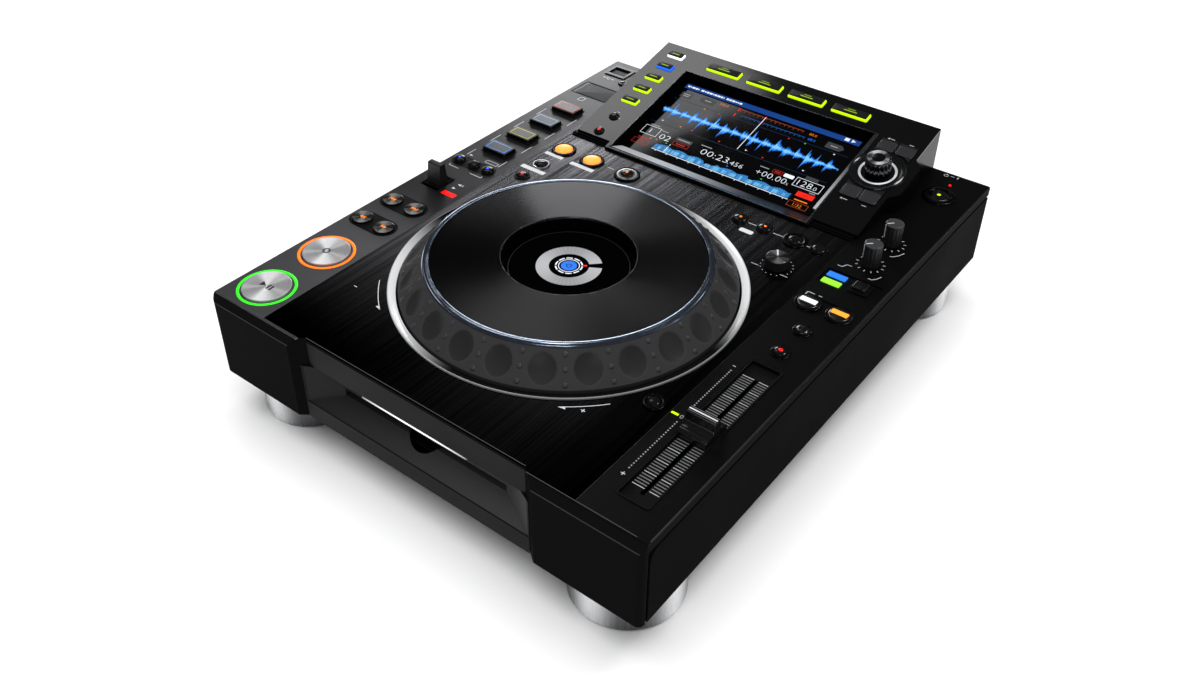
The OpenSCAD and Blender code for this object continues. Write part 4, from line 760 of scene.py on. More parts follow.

# Turned metal: name, dark and light colour, roughness, metallic part. The dark and light colours are the painted shade
# and painted highlight of the fans
TURNED = {
    # Bright spun aluminium of the round buttons
    "spun_silver": ("spun_silver", (150, 150, 152), (246, 246, 247), 0.26, 0.4),
    "knob_top": ("turned_knob_top", (16, 16, 17), (128, 128, 130), 0.26),
    # Dark turned metal of the search and track buttons
    "disc_dark": ("spun_dark_disc", (10, 10, 10), (132, 130, 127), 0.26, 0.4),
    "spun_bright": ("selector_turned_top", (24, 24, 25), (222, 222, 224), 0.26, 0.45),
}

# Metals and shiny plastics: name, colour, metallic part, gloss, size, lowest and highest roughness
RUBBED = {
    "satin_chrome": ("satin_trim", (150, 151, 154), 1.0, 0.5, 220.0, 0.24, 0.38),  # Satin trim of the button surrounds
    "glass": ("dark_clear_front", (2, 2, 3), 0.0, 0.5, 40.0, 0.04, 0.09),
    # Polished shoulder of the jog ring, with a cool tint
    "shoulder": ("polished_shoulder", (190, 205, 228), 1.0, 0.5, 90.0, 0.1, 0.2),
    # Fine bright edge of the jog wheel's window
    "window_rim": ("window_rim", (96, 97, 100), 1.0, 0.5, 120.0, 0.2, 0.3),
    "rim_silver": ("screen_rim", (150, 152, 156), 1.0, 0.5, 150.0, 0.24, 0.36),  # Thin bright rim of the screen
    # Shiny black plastic of the domed buttons
    "gloss_black": ("shiny_black_dome", (10, 10, 11), 0.0, 0.7, 300.0, 0.1, 0.2),
    # Dark polished metallised caps
    "gloss_metal": ("dark_polished_cap", (120, 121, 124), 1.0, 0.5, 200.0, 0.16, 0.26, (1, 1, 1), 0.7),
    "collar": ("dark_collar", (58, 58, 60), 1.0, 0.5, 240.0, 0.16, 0.28),  # Dark metallised collars round buttons
    "satin_ring": ("satin_ring", (205, 205, 208), 1.0, 0.5, 200.0, 0.24, 0.36),
    # Fine bright cut edge of the deck
    "edge_light": ("cut_edge", (96, 97, 99), 1.0, 0.5, 200.0, 0.24, 0.38, (1, 0.05, 1)),
    "fader": ("shiny_fader", (16, 16, 17), 0.0, 0.8, 60.0, 0.16, 0.22),  # Shiny black plastic of the tempo fader
    # Dark polished flutes of the selector's side
    "flute": ("selector_flutes", (96, 96, 98), 1.0, 0.5, 300.0, 0.14, 0.24),
    "void_black": ("void_black", (2, 2, 2), 0.0, 0.05, 300.0, 0.6, 0.8),  # Deep black of the jog wheel's window
}


def paint_case(looks):
    """Satin black case plastic with a fine spark-eroded grain. The deck's top strips carry a metallic satin paint: they
    are where z is above the deck less 0.9 mm. Painted light makes the left one lightest toward the front and a little
    lighter toward the back, and painted shade darkens the right one. A thin painted highlight line runs along the front
    blocks where z is between 81.1 and 81.7 mm."""
    p = moulded("case_satin_black", tuple(looks.case_colour), looks.case_rough, 0.004, 0.14, 3000.0)
    x, y, z, _ = p.spot()
    top = z > (DECK - 0.9) * MM
    grain = p.noise(2600.0, detail=2)
    # Painted light and shade on the strips: the left strip is lit toward its front and back, the right strip is shaded
    front, middle, back, right = (tuple(c * k for c in looks.strip_colour) for k in (5.0, 1.05, 1.22, 0.4))
    left = p.mix(y.ease(-0.125, -0.04), front, p.mix(y.ease(0.0, 0.08), middle, back))
    strip = p.mix(x > 0.0, left, right)
    # Painted highlight: a thin light line along the front blocks
    edge = (z > 0.0811) * (z < 0.0817) * (y < -0.2086)
    case = p.mix(edge, tuple(looks.case_colour), rgb(58, 58, 57))
    p.set(**{"Base Color": p.mix(top, case, strip)})
    p.set(Metallic=top * 0.92, Roughness=top * (grain.ramp(0.3, 0.7, 0.3, 0.36) - looks.case_rough) + looks.case_rough)
    return p


def paint_plate(looks):
    """Black anodised aluminium brushed along the player's depth: long thin streaks change colour, roughness and height.
    Painted light shades the colour: with t from 0 at the front edge to 1 beyond the jog wheel, the colour is the plate
    colour times 0.07 + 4.4 t^2.3, a painted sheen toward the back, and painted shade makes it fall to less than half of
    that toward the right. The left front has painted light: its colour is raised and it is less metallic, so it catches
    more light."""
    p = Paint(
        "brushed_black_plate", tuple(looks.plate_colour), 0.3, 1.0, 0.5, **{"Specular Tint": (0.1, 0.1, 0.1, 1.0)}
    )
    fine = p.noise(1.0, (680.0, 6.0, 40.0), 1.0, 0.5)
    broad = p.noise(1.0, (260.0, 4.0, 40.0), 1.0, 0.5)
    streak = fine * 0.75 + broad * 0.25
    x, y, _, _ = p.spot()
    # Painted light on the left front: its colour is raised and it is less metallic
    left = (x * -1.0).ramp(0.03, 0.115) * y.ramp(-0.195, -0.11) * (1.0 - y.ramp(-0.03, 0.04))
    # Painted light and shade: the colour rises toward the back and falls toward the front and the right
    depth = left * 0.9 + (
        y.ramp(FRONT * MM, (FRONT + 269.0) * MM) ** 2.3 * 4.4 + 0.07
    ) * (1.0 - x.ramp(0.065, 0.115) * 0.6)
    shade = streak.ramp(0.36, 0.64, 0.64, 1.38) * depth
    c = p.scaled(looks.plate_colour, shade)
    p.set(**{"Base Color": c})
    p.set(Roughness=streak.ramp(0.3, 0.7, 0.2, 0.24), Metallic=1.0 - left * 0.3)
    return p


def paint_jog_top(looks):
    """Black spun aluminium of the jog wheel's top, turned in fine rings that shade its colour and roughness, with
    painted shade that darkens it toward the front. Rings come from the distance to the axis: sqrt(x x + y y)."""
    p = Paint(
        "spun_black_top", tuple(looks.jog_colour), 0.2, 1.0, 0.5, **{"Anisotropic": 0.9, "Anisotropic Rotation": 0.25}
    )
    dx, dy = p.off_axis()
    r = (dx * dx + dy * dy) ** 0.5
    ring = p.rings(r * 2600.0, 3.0)
    # Painted shade: the colour falls to 0.3 of itself toward the front
    shade = ring.ramp(0.3, 0.7, 0.86, 1.16) * dy.ease(-0.05, 0.045, 0.3, 1.08)
    p.set(**{"Base Color": p.scaled(looks.jog_colour, shade)})
    p.set(Roughness=ring.ramp(0.3, 0.7, 0.185, 0.215))
    return p


def paint_feet_metal(looks):
    """Satin silver of the feet with painted reflections: upright light and dark bands about each foot's axis. With a
    the angle about it the shade is the square of (1 + sin(4 a + 1.71)) / 2."""
    p = Paint("satin_silver_foot", rgb(120, 121, 124), 0.3, 1.0, 0.5)
    x, y, _, _ = p.spot()
    dx, dy = x - ((x > 0.0) * 0.248 - 0.124), y - ((y > 0.0) * 0.3335 - 0.17)
    angle = dy.angle(dx)
    # Painted reflection bands about each foot's axis
    band = ((angle * 4.0 + 1.71).sine() * 0.5 + 0.5) ** 2.0
    streak = p.noise(1.0, (900.0, 900.0, 20.0), 1.0)
    shade = (band + streak * 0.12 - 0.06).ramp(0.0, 1.0)
    p.set(**{"Base Color": p.mix(shade, rgb(92, 93, 95), rgb(236, 237, 239))})
    p.set(Roughness=streak.ramp(0.3, 0.7, 0.24, 0.32))
    return p


def paint_chrome(looks):
    """Polished trim with a painted reflection: its bevel is painted dark where it faces the player's front and back and
    painted bright at both sides: with a the angle about the jog wheel's axis the shade is the square of cos(a - 45
    degrees). Its outer edge keeps a painted highlight line."""
    p = Paint("polished_trim", rgb(236, 237, 239), 0.16, 0.42, 0.5)
    dx, dy = p.off_axis()
    r = (dx * dx + dy * dy) ** 0.5 + 0.0001
    along = (dx + dy) * 0.707 / r
    # Painted reflection: dark toward front and back, bright at both sides, and a painted highlight line on the outer
    # edge
    shade = p.mix((along * along).ease(0.46, 0.98), rgb(12, 12, 13), rgb(250, 251, 252))
    p.set(**{"Base Color": p.mix((r > 0.1093) * 0.6, shade, rgb(190, 191, 193))})
    p.set(Roughness=p.noise(60.0).ramp(0.3, 0.7, 0.13, 0.19))
    return p


def paint_steel(looks):
    """Zinc plated sheet with a faint spangle."""
    p = Paint("zinc_plated_sheet", rgb(165, 167, 170), 0.38, 1.0, 0.5)
    cell = p.node("ShaderNodeTexVoronoi", None, {"Vector": p.spot()[3], "Scale": 260.0}, 0)
    p.set(Roughness=cell.ramp(0.0, 0.8, 0.3, 0.46))
    return p


def paint_display_case(looks):
    """Black of the raised display housing. Its front has a clear glossy coat, which is thin on its sides and absent on
    the window's walls: they lie below the front by more than 0.7 mm, measured along its normal, between the window's
    ends."""
    p = moulded("display_housing", rgb(7, 7, 8), 0.3, 0.02, 0.01, 3000.0, 0.02)
    x, y, z, _ = p.spot()
    deep = (z - SLOPE_Z * MM) * math.cos(TILT) - (y - SLOPE_Y * MM) * math.sin(TILT)
    wall = (deep < -0.0007) * (x > -0.0776) * (x < 0.0836)
    sunk = deep < -0.0007
    p.set(**{"Coat Weight": (1.0 - sunk * 0.68) * (1.0 - wall), "Coat Roughness": 0.1, "Coat IOR": 1.67})
    p.set(Roughness=wall * 0.4 + 0.3)
    p.set(**{"Base Color": p.mix(wall, rgb(7, 7, 8), rgb(3, 3, 3))})
    return p


def paint_boards(looks):
    """Solder resist over faint tracks."""
    p = Paint("solder_resist", rgb(14, 62, 34), 0.35, 0.0, 0.5)
    x, y, _, _ = p.spot()
    track = ((x * 5200.0).sine() * (y * 4700.0).sine()).ramp(0.1, 0.3)
    p.set(**{"Base Color": p.mix(track, rgb(12, 54, 30), rgb(24, 84, 46))})
    return p


def paint_lamp_green(looks):
    """Green light of the play ring."""
    return lamp("green_light", tuple(looks.play_light), looks.lamp_power)


def paint_lamp_orange(looks):
    """Orange light of the cue ring and loop buttons."""
    return lamp("orange_light", tuple(looks.cue_light), looks.lamp_power)


def paint_front_wall(looks):
    """Slanted wall below the screen: a painted bright satin reflection that darkens to the right."""
    p = Paint("slanted_wall", rgb(150, 152, 156), 0.32, 0.35, 0.5)
    x, _, _, _ = p.spot()
    p.set(**{"Base Color": p.mix(x.ease(-0.045, 0.045), rgb(205, 209, 214), rgb(26, 27, 29))})
    return p


def paint_marker_grey(looks):
    """Lit grey of the jog display's marker: four soft fans of light turn with the angle, by the sine of it."""
    p = Paint("marker_grey", rgb(90, 90, 92), 0.3, 0.0, 0.3)
    dx, dy = p.off_axis()
    angle = dy.angle(dx)
    fan = ((angle * 2.0 + 0.4).sine() * 0.5 + 0.5) * 0.8 + ((angle * 46.0).sine() * 0.5 + 0.5) * 0.2
    p.glow(0.9, p.mix(fan, rgb(118, 119, 121), rgb(176, 177, 180)))
    return p


def paint_loop_dome(looks):
    """Lit yellow-orange domes with a fine hatch."""
    p = Paint("lit_loop_dome", rgb(200, 110, 30), 0.25, 0.0, 0.5)
    x, y, _, _ = p.spot()
    hatch = ((x * 6200.0 + y * 2600.0).sine() * (y * 5600.0).sine()).ramp(-0.6, 0.6)
    p.glow(0.95, p.mix(hatch, rgb(232, 146, 44), rgb(255, 190, 92)))
    return p


def paint_bezel_grey(looks):
    """Dark grey satin plastic of the disc slot's funnel, lighter inside, with painted light that makes it lighter
    toward its right end.
    """
    p = moulded("slot_funnel_grey", rgb(27, 27, 28), 0.4, 0.05, 0.1, 2600.0)
    x, y, z, _ = p.spot()
    # Painted light: the inside grows lighter toward the right end
    inner = p.mix(x.ramp(-0.08, 0.08), rgb(34, 34, 35), rgb(60, 60, 61))
    p.set(**{"Base Color": p.mix((y > -0.2049) * (z < 0.0668), rgb(19, 19, 20), inner)})
    return p


def paint_slot_glow(looks):
    """White light of the disc slot: brightest in the middle, fading to both ends as 1 - (x / 40 mm)^2."""
    p = Paint("slot_glow", rgb(120, 120, 122), 0.3, 0.0, 0.5)
    x, _, _, _ = p.spot()
    part = (1.0 - (x / 0.041) * (x / 0.041)).top(0.0)
    p.glow(1.3, p.mix(part, rgb(30, 30, 31), (0.95, 0.97, 1.0)))
    return p


def paint_ring_silver(looks):
    """Bright turned ring under the selector, lit from its edge."""
    p = spun("selector_ring_silver", rgb(150, 152, 154), rgb(240, 242, 244), 0.3, 0.2)
    p.glow(0.3, rgb(200, 205, 210))
    return p


def paint_window_side(looks):
    """Slanted side of the display's window with a painted highlight that dims toward the back."""
    p = Paint("window_side", rgb(180, 183, 188), 0.3, 0.4, 0.5)
    _, y, _, _ = p.spot()
    p.set(
        **{
            "Base Color": p.mix(
                y.ease((SLOPE_Y + 4.0) * MM, (SLOPE_Y + 70.0) * MM), rgb(196, 199, 204), rgb(40, 41, 43)
            )
        }
    )
    return p


# Which CAD nodes get each finish
FINISH_NODES = {
    "case": ("top_case", "card_door"),
    "chassis": ("lower_chassis", "rear_panel", "drive_chassis"),
    "plate": ("deck_plate",),
    "bezel_grey": ("slot_bezel",),
    "satin_chrome": ("rear_jacks",),
    "feet_metal": ("feet",),
    "rubber": ("foot_pads", "disc_roller"),
    "steel": ("case_screws", "selector_shaft"),
    "display_case": ("display_housing",),
    "glass": ("display_panel",),
    "chrome": ("jog_trim_ring",),
    "dark_recess": ("jog_bearing", "tempo_track", "turntable", "optical_pickup"),
    "round_screen": ("jog_display",),
    "lamp_green": ("light_guides",),
    "collar": ("button_trims", "search_buttons", "track_buttons"),
    "boards": ("circuit_boards",),
    "jog_ring": ("jog_wheel",),
    "jog_top": ("jog_top_plate",),
    "spun_silver": ("play_button", "cue_button"),
    "knob": ("direction_lever", "jog_adjust_knob", "brake_knob", "start_knob", "tempo_slider", "selector_knob"),
    "key": (
        "bank_buttons", "usb_stop_button", "reloop_button", "beat_loop_button", "slip_button", "call_buttons",
        "memory_buttons", "tempo_reset_button", "eject_button", "jog_mode_button", "sync_button", "master_button",
        "tempo_mode_buttons", "mode_buttons", "browse_keys", "selector_pads", "power_button",
    ),
    "pad_key": ("hot_cue_a", "hot_cue_b", "hot_cue_c", "hot_cue_d"),
    "lamp_orange": ("loop_in_button", "loop_out_button"),
    "lamp_lime": ("source_keys",),
}
NODE_FINISH = {node: finish for finish, nodes in FINISH_NODES.items() for node in nodes}


def numerals(heap, text, x, y, height, z0, z1, narrow=1.0, middle=False):
    """Adds figures from Blender's own type as flat solids: the outline is scaled so that a zero is as tall as height.
    Returns the x where they end."""
    curve = bpy.data.curves.new("figures", "FONT")
    curve.body = text
    curve.size = 1.0
    curve.resolution_u = 2
    curve.extrude = 0.01
    curve.offset = -0.02
    carrier = bpy.data.objects.new("figures", curve)
    mesh = bpy.data.meshes.new_from_object(carrier)
    count = len(mesh.vertices)
    flat = np.empty(count * 3)
    mesh.vertices.foreach_get("co", flat)
    p = flat.reshape(-1, 3)
    scale = height / 0.73
    width = (p[:, 0].max() - p[:, 0].min()) * scale * narrow
    left = x - (width / 2 if middle else 0.0)
    out = np.stack(
        [
            left + (p[:, 0] - p[:, 0].min()) * scale * narrow,
            y + p[:, 1] * scale,
            np.where(p[:, 2] > 0, z1, z0),
        ],
        -1,
    )
    faces = [tuple(q.vertices) for q in mesh.polygons]
    bpy.data.objects.remove(carrier)
    bpy.data.curves.remove(curve)
    bpy.data.meshes.remove(mesh)
    heap.add(out, faces)
    return left + width


# ---------------------------------------------------------------- the jog wheel

CONE_FOOT, CONE_TOP = (103.5, 1.0), (88.0, 17.5)


def jog_ring_surface(dimples, radius, depth, steps=960):
    """Jog ring as r(a, t), h(a, t): a profile turned about the axis, its cone pushed in along its normal wherever it
    lies inside one of the dimple spheres. With q = point - sphere centre and n the cone's normal the push is
    s = q.n + sqrt((q.n)^2 - q.q + R^2), and it fades to nothing by a soft maximum so the rims are slightly rounded."""
    foot, top = np.array(CONE_FOOT), np.array(CONE_TOP)
    t = np.linspace(0, 1, 46)[:, None]
    cone = foot + (top - foot) * t
    head = np.array(
        [[24.4, -12.7], [30.0, -12.9], [30.0, -9.0], [102.9, -7.0], [103.3, -6.8], [103.5, -6.4], [103.5, 0.6]]
    )
    tail = np.array(
        [
            [87.9, 17.7], [84.2, 17.3], [83.9, 17.0], [83.9, 16.2], [81.0, 16.0], [81.0, 14.6], [85.8, 14.6],
            [100.9, -0.4], [100.9, -5.0], [30.0, -7.0], [30.0, 7.4], [24.4, 7.4],
        ]
    )
    profile = np.concatenate([head, cone, tail])
    a = np.linspace(0, 2 * math.pi, steps, endpoint=False)[:, None]
    r, h = profile[:, 0], profile[:, 1]
    x, y, z = r * np.cos(a), r * np.sin(a), np.broadcast_to(h, (steps, len(h)))
    slope = math.atan2(foot[0] - top[0], top[1] - foot[1])
    nr, nz = math.cos(slope), math.sin(slope)
    sphere = (radius ** 2 + depth ** 2) / (2 * depth)
    middle = (foot + top) / 2 + np.array([nr, nz]) * (sphere - depth)
    turn = np.round(a / (2 * math.pi) * dimples) * 2 * math.pi / dimples
    nx, ny = nr * np.cos(a), nr * np.sin(a)
    qx, qy, qz = x - middle[0] * np.cos(turn), y - middle[0] * np.sin(turn), z - middle[1]
    qn = qx * nx + qy * ny + qz * nz
    inside = np.maximum(qn ** 2 - (qx ** 2 + qy ** 2 + qz ** 2) + sphere ** 2, 0.0)
    push = np.sqrt(inside) + qn
    soft = 0.12
    push = np.where(inside > 0, (push + np.sqrt(push ** 2 + soft ** 2)) / 2, 0.0)
    on_cone = np.zeros(len(profile))
    on_cone[len(head) + 1 : len(head) + len(cone) - 1] = 1.0
    push = push * on_cone
    verts = np.stack([x - push * nx, y - push * ny, z - push * nz], -1).reshape(-1, 3)
    hollow = (push > 0.13).reshape(-1)
    faces = grid_faces(steps, len(profile), close_u=True, close_v=True)
    return verts, faces, hollow[np.array(faces)].all(1)


def jog_turned(name, profile, steps, body, material, slot, smooth, hides=()):
    """Makes a piece turned about the jog wheel's axis."""
    verts, faces = turned(profile, steps)
    return add_piece(name, jog(verts), faces, body, material, slot, smooth, hides, weld=True)


def domes(places, normals, radius, height, around=12, rings=4):
    """Round studs: a point at angle a and rise t of each is centre + radius cos t (u cos a + v sin a) + n height sin t,
    closed by a point at the top and a flat bottom below the surface."""
    places, n = np.asarray(places, float), np.asarray(normals, float)
    u = np.cross(n, [0.0, 0.0, 1.0])
    u /= np.linalg.norm(u, axis=1)[:, None]
    v = np.cross(n, u)
    a = np.linspace(0, 2 * math.pi, around, endpoint=False)
    levels = [(1.0, -0.4)] + [(math.cos(k), height * math.sin(k)) for k in np.linspace(0, math.pi / 2, rings + 1)[:-1]]
    verts, faces = [], []
    count = len(places)
    for out, up in levels:
        ring = u[:, None] * np.cos(a)[:, None] + v[:, None] * np.sin(a)[:, None]
        verts.append(places[:, None] + ring * radius * out + n[:, None] * up)
    block = np.concatenate(verts, 1)
    block = np.concatenate([block, places[:, None] + n[:, None] * height], 1)
    per = block.shape[1]
    i = np.arange(around)
    j = (i + 1) % around
    quads = np.concatenate(
        [
            np.stack(
                [k * around + i, k * around + j, (k + 1) * around + j, (k + 1) * around + i], -1
            ) for k in range(len(levels) - 1)
        ]
    )
    last = (len(levels) - 1) * around
    tips = np.stack([last + i, last + j, np.full(around, per - 1)], -1)
    for s in range(count):
        faces += (quads + s * per).tolist() + (tips + s * per).tolist() + [[int(c) + s * per for c in i[::-1]]]
    return block.reshape(-1, 3), faces


class PLAYER_OT_jog_ring(bpy.types.Operator):
    """Makes the jog ring with its finger dimples, studs and polished shoulder"""

    bl_idname = "disc_player.jog_ring"
    bl_label = "Jog ring"

    def execute(self, context):
        f = finishes()
        verts, faces, hollow = jog_ring_surface(DIMPLES, 9.5, 1.4)
        ring = add_piece("jog_ring", jog(verts), faces, "jog_wheel", f.jog_ring, "jog_wheel", 30, hides=("jog_wheel",))
        # The dimples take a darker finish: painted shade in the hollows
        ring.data.materials.append(f.dimple)
        ring.data.polygons.foreach_set("material_index", hollow.astype(np.int32))

        foot, top = np.array(CONE_FOOT), np.array(CONE_TOP)
        lean = math.atan2(foot[0] - top[0], top[1] - foot[1])
        a = np.radians((np.arange(DIMPLES) + 0.5) * 360.0 / DIMPLES)
        spots, ways = [], []
        for part in (0.13, 0.5, 0.87):
            r, h = foot + (top - foot) * part
            spots.append(np.stack([r * np.cos(a), r * np.sin(a), np.full(DIMPLES, h)], -1))
            out = math.cos(lean)
            ways.append(np.stack([out * np.cos(a), out * np.sin(a), np.full(DIMPLES, math.sin(lean))], -1))
        verts, faces = domes(np.concatenate(spots), np.concatenate(ways), 1.6, 0.75)
        add_piece("jog_studs", jog(verts), faces, "jog_wheel", f.jog_stud, "jog_wheel", 60, weld=True)

        shoulder = [(87.98, 17.3), (88.05, 17.55), (87.6, 18.0), (87.1, 18.15), (86.9, 18.5), (86.3, 18.75),
                    (85.6, 18.8), (85.5, 18.95), (84.2, 19.0), (83.8, 18.9), (83.8, 16.3), (86.0, 16.3)]
        jog_turned("jog_shoulder", shoulder, 256, "jog_wheel", f.shoulder, "jog_wheel", 25)
        return {"FINISHED"}


class PLAYER_OT_jog_top(bpy.types.Operator):
    """Makes the jog wheel's top plate, with its window and rims"""

    bl_idname = "disc_player.jog_top"
    bl_label = "Jog top plate"

    def execute(self, context):
        f = finishes()
        plate = [(83.5, 17.25), (83.5, 18.45), (83.3, 18.7), (41.5, 18.7), (41.5, 17.25)]
        top = "jog_top_plate"
        jog_turned("jog_plate", plate, 256, top, f.jog_top, top, 25, hides=("jog_top_plate",))
        rim = [(41.5, 18.75), (41.1, 18.72), (40.8, 18.4), (40.7, 18.0), (40.7, 17.0), (41.5, 17.0)]
        jog_turned("jog_window_rim", rim[::-1], 192, top, f.window_rim, top, 40)
        wall = [(40.7, 16.98), (40.7, 10.25), (42.7, 10.25), (42.7, 17.2), (41.5, 17.2), (41.5, 16.98)]
        jog_turned("jog_window_wall", wall[::-1], 192, top, f.void_black, top, 30)
        return {"FINISHED"}


class PLAYER_OT_jog_display(bpy.types.Operator):
    """Draws the round display in the middle of the jog wheel"""

    bl_idname = "disc_player.jog_display"
    bl_label = "Jog display"

    def execute(self, context):
        f = finishes()
        z = 10.02
        ink = (z, z + 0.06)
        Heap(jog).ring(0, 0, 36.6, 37.2, z - 0.6, z + 0.02, 128).fix("jog_display_step", f.knob, "jog_display")
        grey = Heap(jog).arc(0, 0, 12.25, 20.2, 45, 390, *ink, 160)
        grey.fix("jog_marker_ring", f.marker_grey, "jog_display")
        white = Heap(jog)
        for k in range(10):
            white.arc(0, 0, 7.6, 8.5, k * 36 + 4, k * 36 + 32, *ink, 12)
        white.ring(0, 0, 6.1, 6.6, *ink, 72)
        white.fix("jog_beat_ring", f.screen_white, "jog_display")
        Heap(jog).slab(outline_circle(4.9, 64), *ink).fix("jog_disc_icon", f.screen_blue, "jog_display")
        Heap(jog).ring(0, 0, 1.3, 1.9, z + 0.05, z + 0.1).fix("jog_disc_hole", f.screen_dark, "jog_display")
        Heap(jog).arc(0, 0, 8.9, 10.9, 34, 41, *ink, 8).fix("jog_position_mark", f.lamp_red, "jog_display")
        return {"FINISHED"}


class PLAYER_OT_trim_ring(bpy.types.Operator):
    """Makes the polished trim ring around the jog wheel"""

    bl_idname = "disc_player.trim_ring"
    bl_label = "Trim ring"

    def execute(self, context):
        ring = [(104.8, -2.0), (106.1, -2.0), (106.1, 0.0), (110.0, 0.0), (110.0, 0.55), (109.9, 0.85), (109.65, 1.05),
                (109.3, 1.12), (109.0, 1.08), (105.1, 0.02), (104.9, -0.12), (104.8, -0.35)]
        jog_turned("trim_ring", ring, 320, "player", finishes().chrome, "jog_trim_ring", 25, hides=("jog_trim_ring",))
        return {"FINISHED"}


# ---------------------------------------------------------------- lights, glyphs and caps


def ring_light(name, x, y, r0, r1, z0, z1, material, place=deck, hides=()):
    """A light ring with a slightly domed top, proud of its groove."""
    mid = (r0 + r1) / 2
    profile = [(r1, z0), (r1, z1 - 0.12), (r1 - 0.15, z1), (mid, z1 + 0.02), (r0 + 0.15, z1), (r0, z1 - 0.12), (r0, z0)]
    h = Heap(place).turned(profile, x, y, 128)
    return h.fix(name, material, "light_guides", 50, hides)


def with_axis(obj, centre):
    """Stores each point's place measured from a turned piece's axis in the attribute named axis."""
    mesh = obj.data
    flat = np.empty(len(mesh.vertices) * 3)
    mesh.vertices.foreach_get("co", flat)
    away = flat.reshape(-1, 3) - np.asarray(centre) * MM
    mesh.attributes.new("axis", "FLOAT_VECTOR", "POINT").data.foreach_set("vector", away.ravel())
    return obj


def cap(name, x, y, r, z, body, material, slot, place=deck, dish=0.12, steps=96):
    """Thin turned cap on a round button: a shallow dish with a bevelled, slightly raised edge."""
    profile = [(0.0001, z - 0.05), (r, z - 0.05), (r, z + 0.1), (r - 0.25, z + 0.22), (r - 0.6, z + 0.22),
               (r - 0.9, z + 0.14), (r * 0.55, z + 0.14 - dish * 0.5), (0.0001, z + 0.14 - dish)]
    h = Heap(place).turned(profile, x, y, steps)
    return with_axis(h.make(name, body, material, slot, 30), place([[x, y, z]])[0])


class PLAYER_OT_lights(bpy.types.Operator):
    """Makes the light rings, the slot light and the lamps"""

    bl_idname = "disc_player.lights"
    bl_label = "Lights"

    def execute(self, context):
        f = finishes()
        groove = (16.5, 18.2, -1.2, 0.26)
        ring_light("play_light", *middle("play_button"), *groove, f.lamp_green, hides=("light_guides",))
        ring_light("cue_light", *middle("cue_button"), *groove, f.lamp_orange)
        bar = outline_box(80.0, 2.0, 0.9, 6, 0.0, -200.4)
        h = Heap(plain).slab(bar, 64.8, 67.0, 0.3).fix("slot_light", f.slot_glow, "light_guides")
        h = Heap().turned([(0.0001, -0.3), (1.0, -0.3), (1.0, 0.25), (0.75, 0.5), (0.0001, 0.62)], KNOB_X, 182.8, 32)
        h.fix("standby_lamp", f.lamp_red, "light_guides", 50)
        return {"FINISHED"}


class PLAYER_OT_transport(bpy.types.Operator):
    """Puts turned caps and glyphs on the play, cue, search and track buttons"""

    bl_idname = "disc_player.transport"
    bl_label = "Transport buttons"

    def execute(self, context):
        f = finishes()
        for body in ("play_button", "cue_button"):
            x, y = middle(body)
            cap(body + "_cap", x, y, 14.75, 1.18, body, f.spun_silver, body, dish=0.1, steps=160)
            h = Heap().turned([(14.8, 0.6), (15.0, 0.6), (15.0, 1.2), (14.9, 1.3), (14.8, 1.3)], x, y, 128)
            h.own(body + "_rim", body, f.chrome)
        x, y = middle("play_button")
        z = 1.3
        ink = (z, z + 0.12)
        h = Heap().slab(triangle(x - 2.9, y, 3.6, 4.4), *ink)
        h.bars(ink, (x + 1.7, y, 1.2, 4.4), (x + 4.1, y, 1.2, 4.4)).own("play_glyph", "play_button", f.print_dark)
        x, y = middle("cue_button")
        h = Heap().ring(x, y, 1.7, 2.6, z, z + 0.1).own("cue_glyph", "cue_button", f.print_dark)
        for body, row in (("search_buttons", SEARCH_Y), ("track_buttons", TRACK_Y)):
            glyph, ink = Heap(), (1.32, 1.44)
            for side, x in zip((-1, 1), PAIR_X):
                name = body + ("_left" if side < 0 else "_right")
                cap(name, x, row, 6.9, 1.2, body, f.disc_dark, body, dish=0.05)
                glyph.slab(triangle(x - 1.15 * side, row, 2.2, 2.8, side), *ink)
                glyph.slab(triangle(x + 1.05 * side, row, 2.2, 2.8, side), *ink)
                if body == "track_buttons":
                    glyph.slab(rect(x + 2.5 * side, row, 0.55, 2.8), *ink)
            glyph.own(body + "_glyphs", body, f.glyph_orange)
        return {"FINISHED"}


# ---------------------------------------------------------------- the display unit


def wave_height(x, seed):
    """Height of a made-up sound wave, 0 to 1. Every 8.6 mm a beat starts at full height and dies away as exp(-d / 2.4),
    over a body of 0.13. A hashed flicker frac(|sin(127.1 k + s)| 43758.5) for each 0.42 mm step k gives its spikes."""
    d = (x + 74.0 + 0.9 * np.sin(x * 0.11 + seed)) % 8.6
    beat = np.exp(-d / 2.4) * (0.72 + 0.28 * np.sin(np.floor((x + 74.0) / 8.6) * 2.3 + seed))
    flick = np.abs(np.sin(np.floor(x / 0.42) * 127.1 + seed) * 43758.5453) % 1.0
    return (0.13 + 0.87 * beat) * (0.3 + 0.7 * flick)


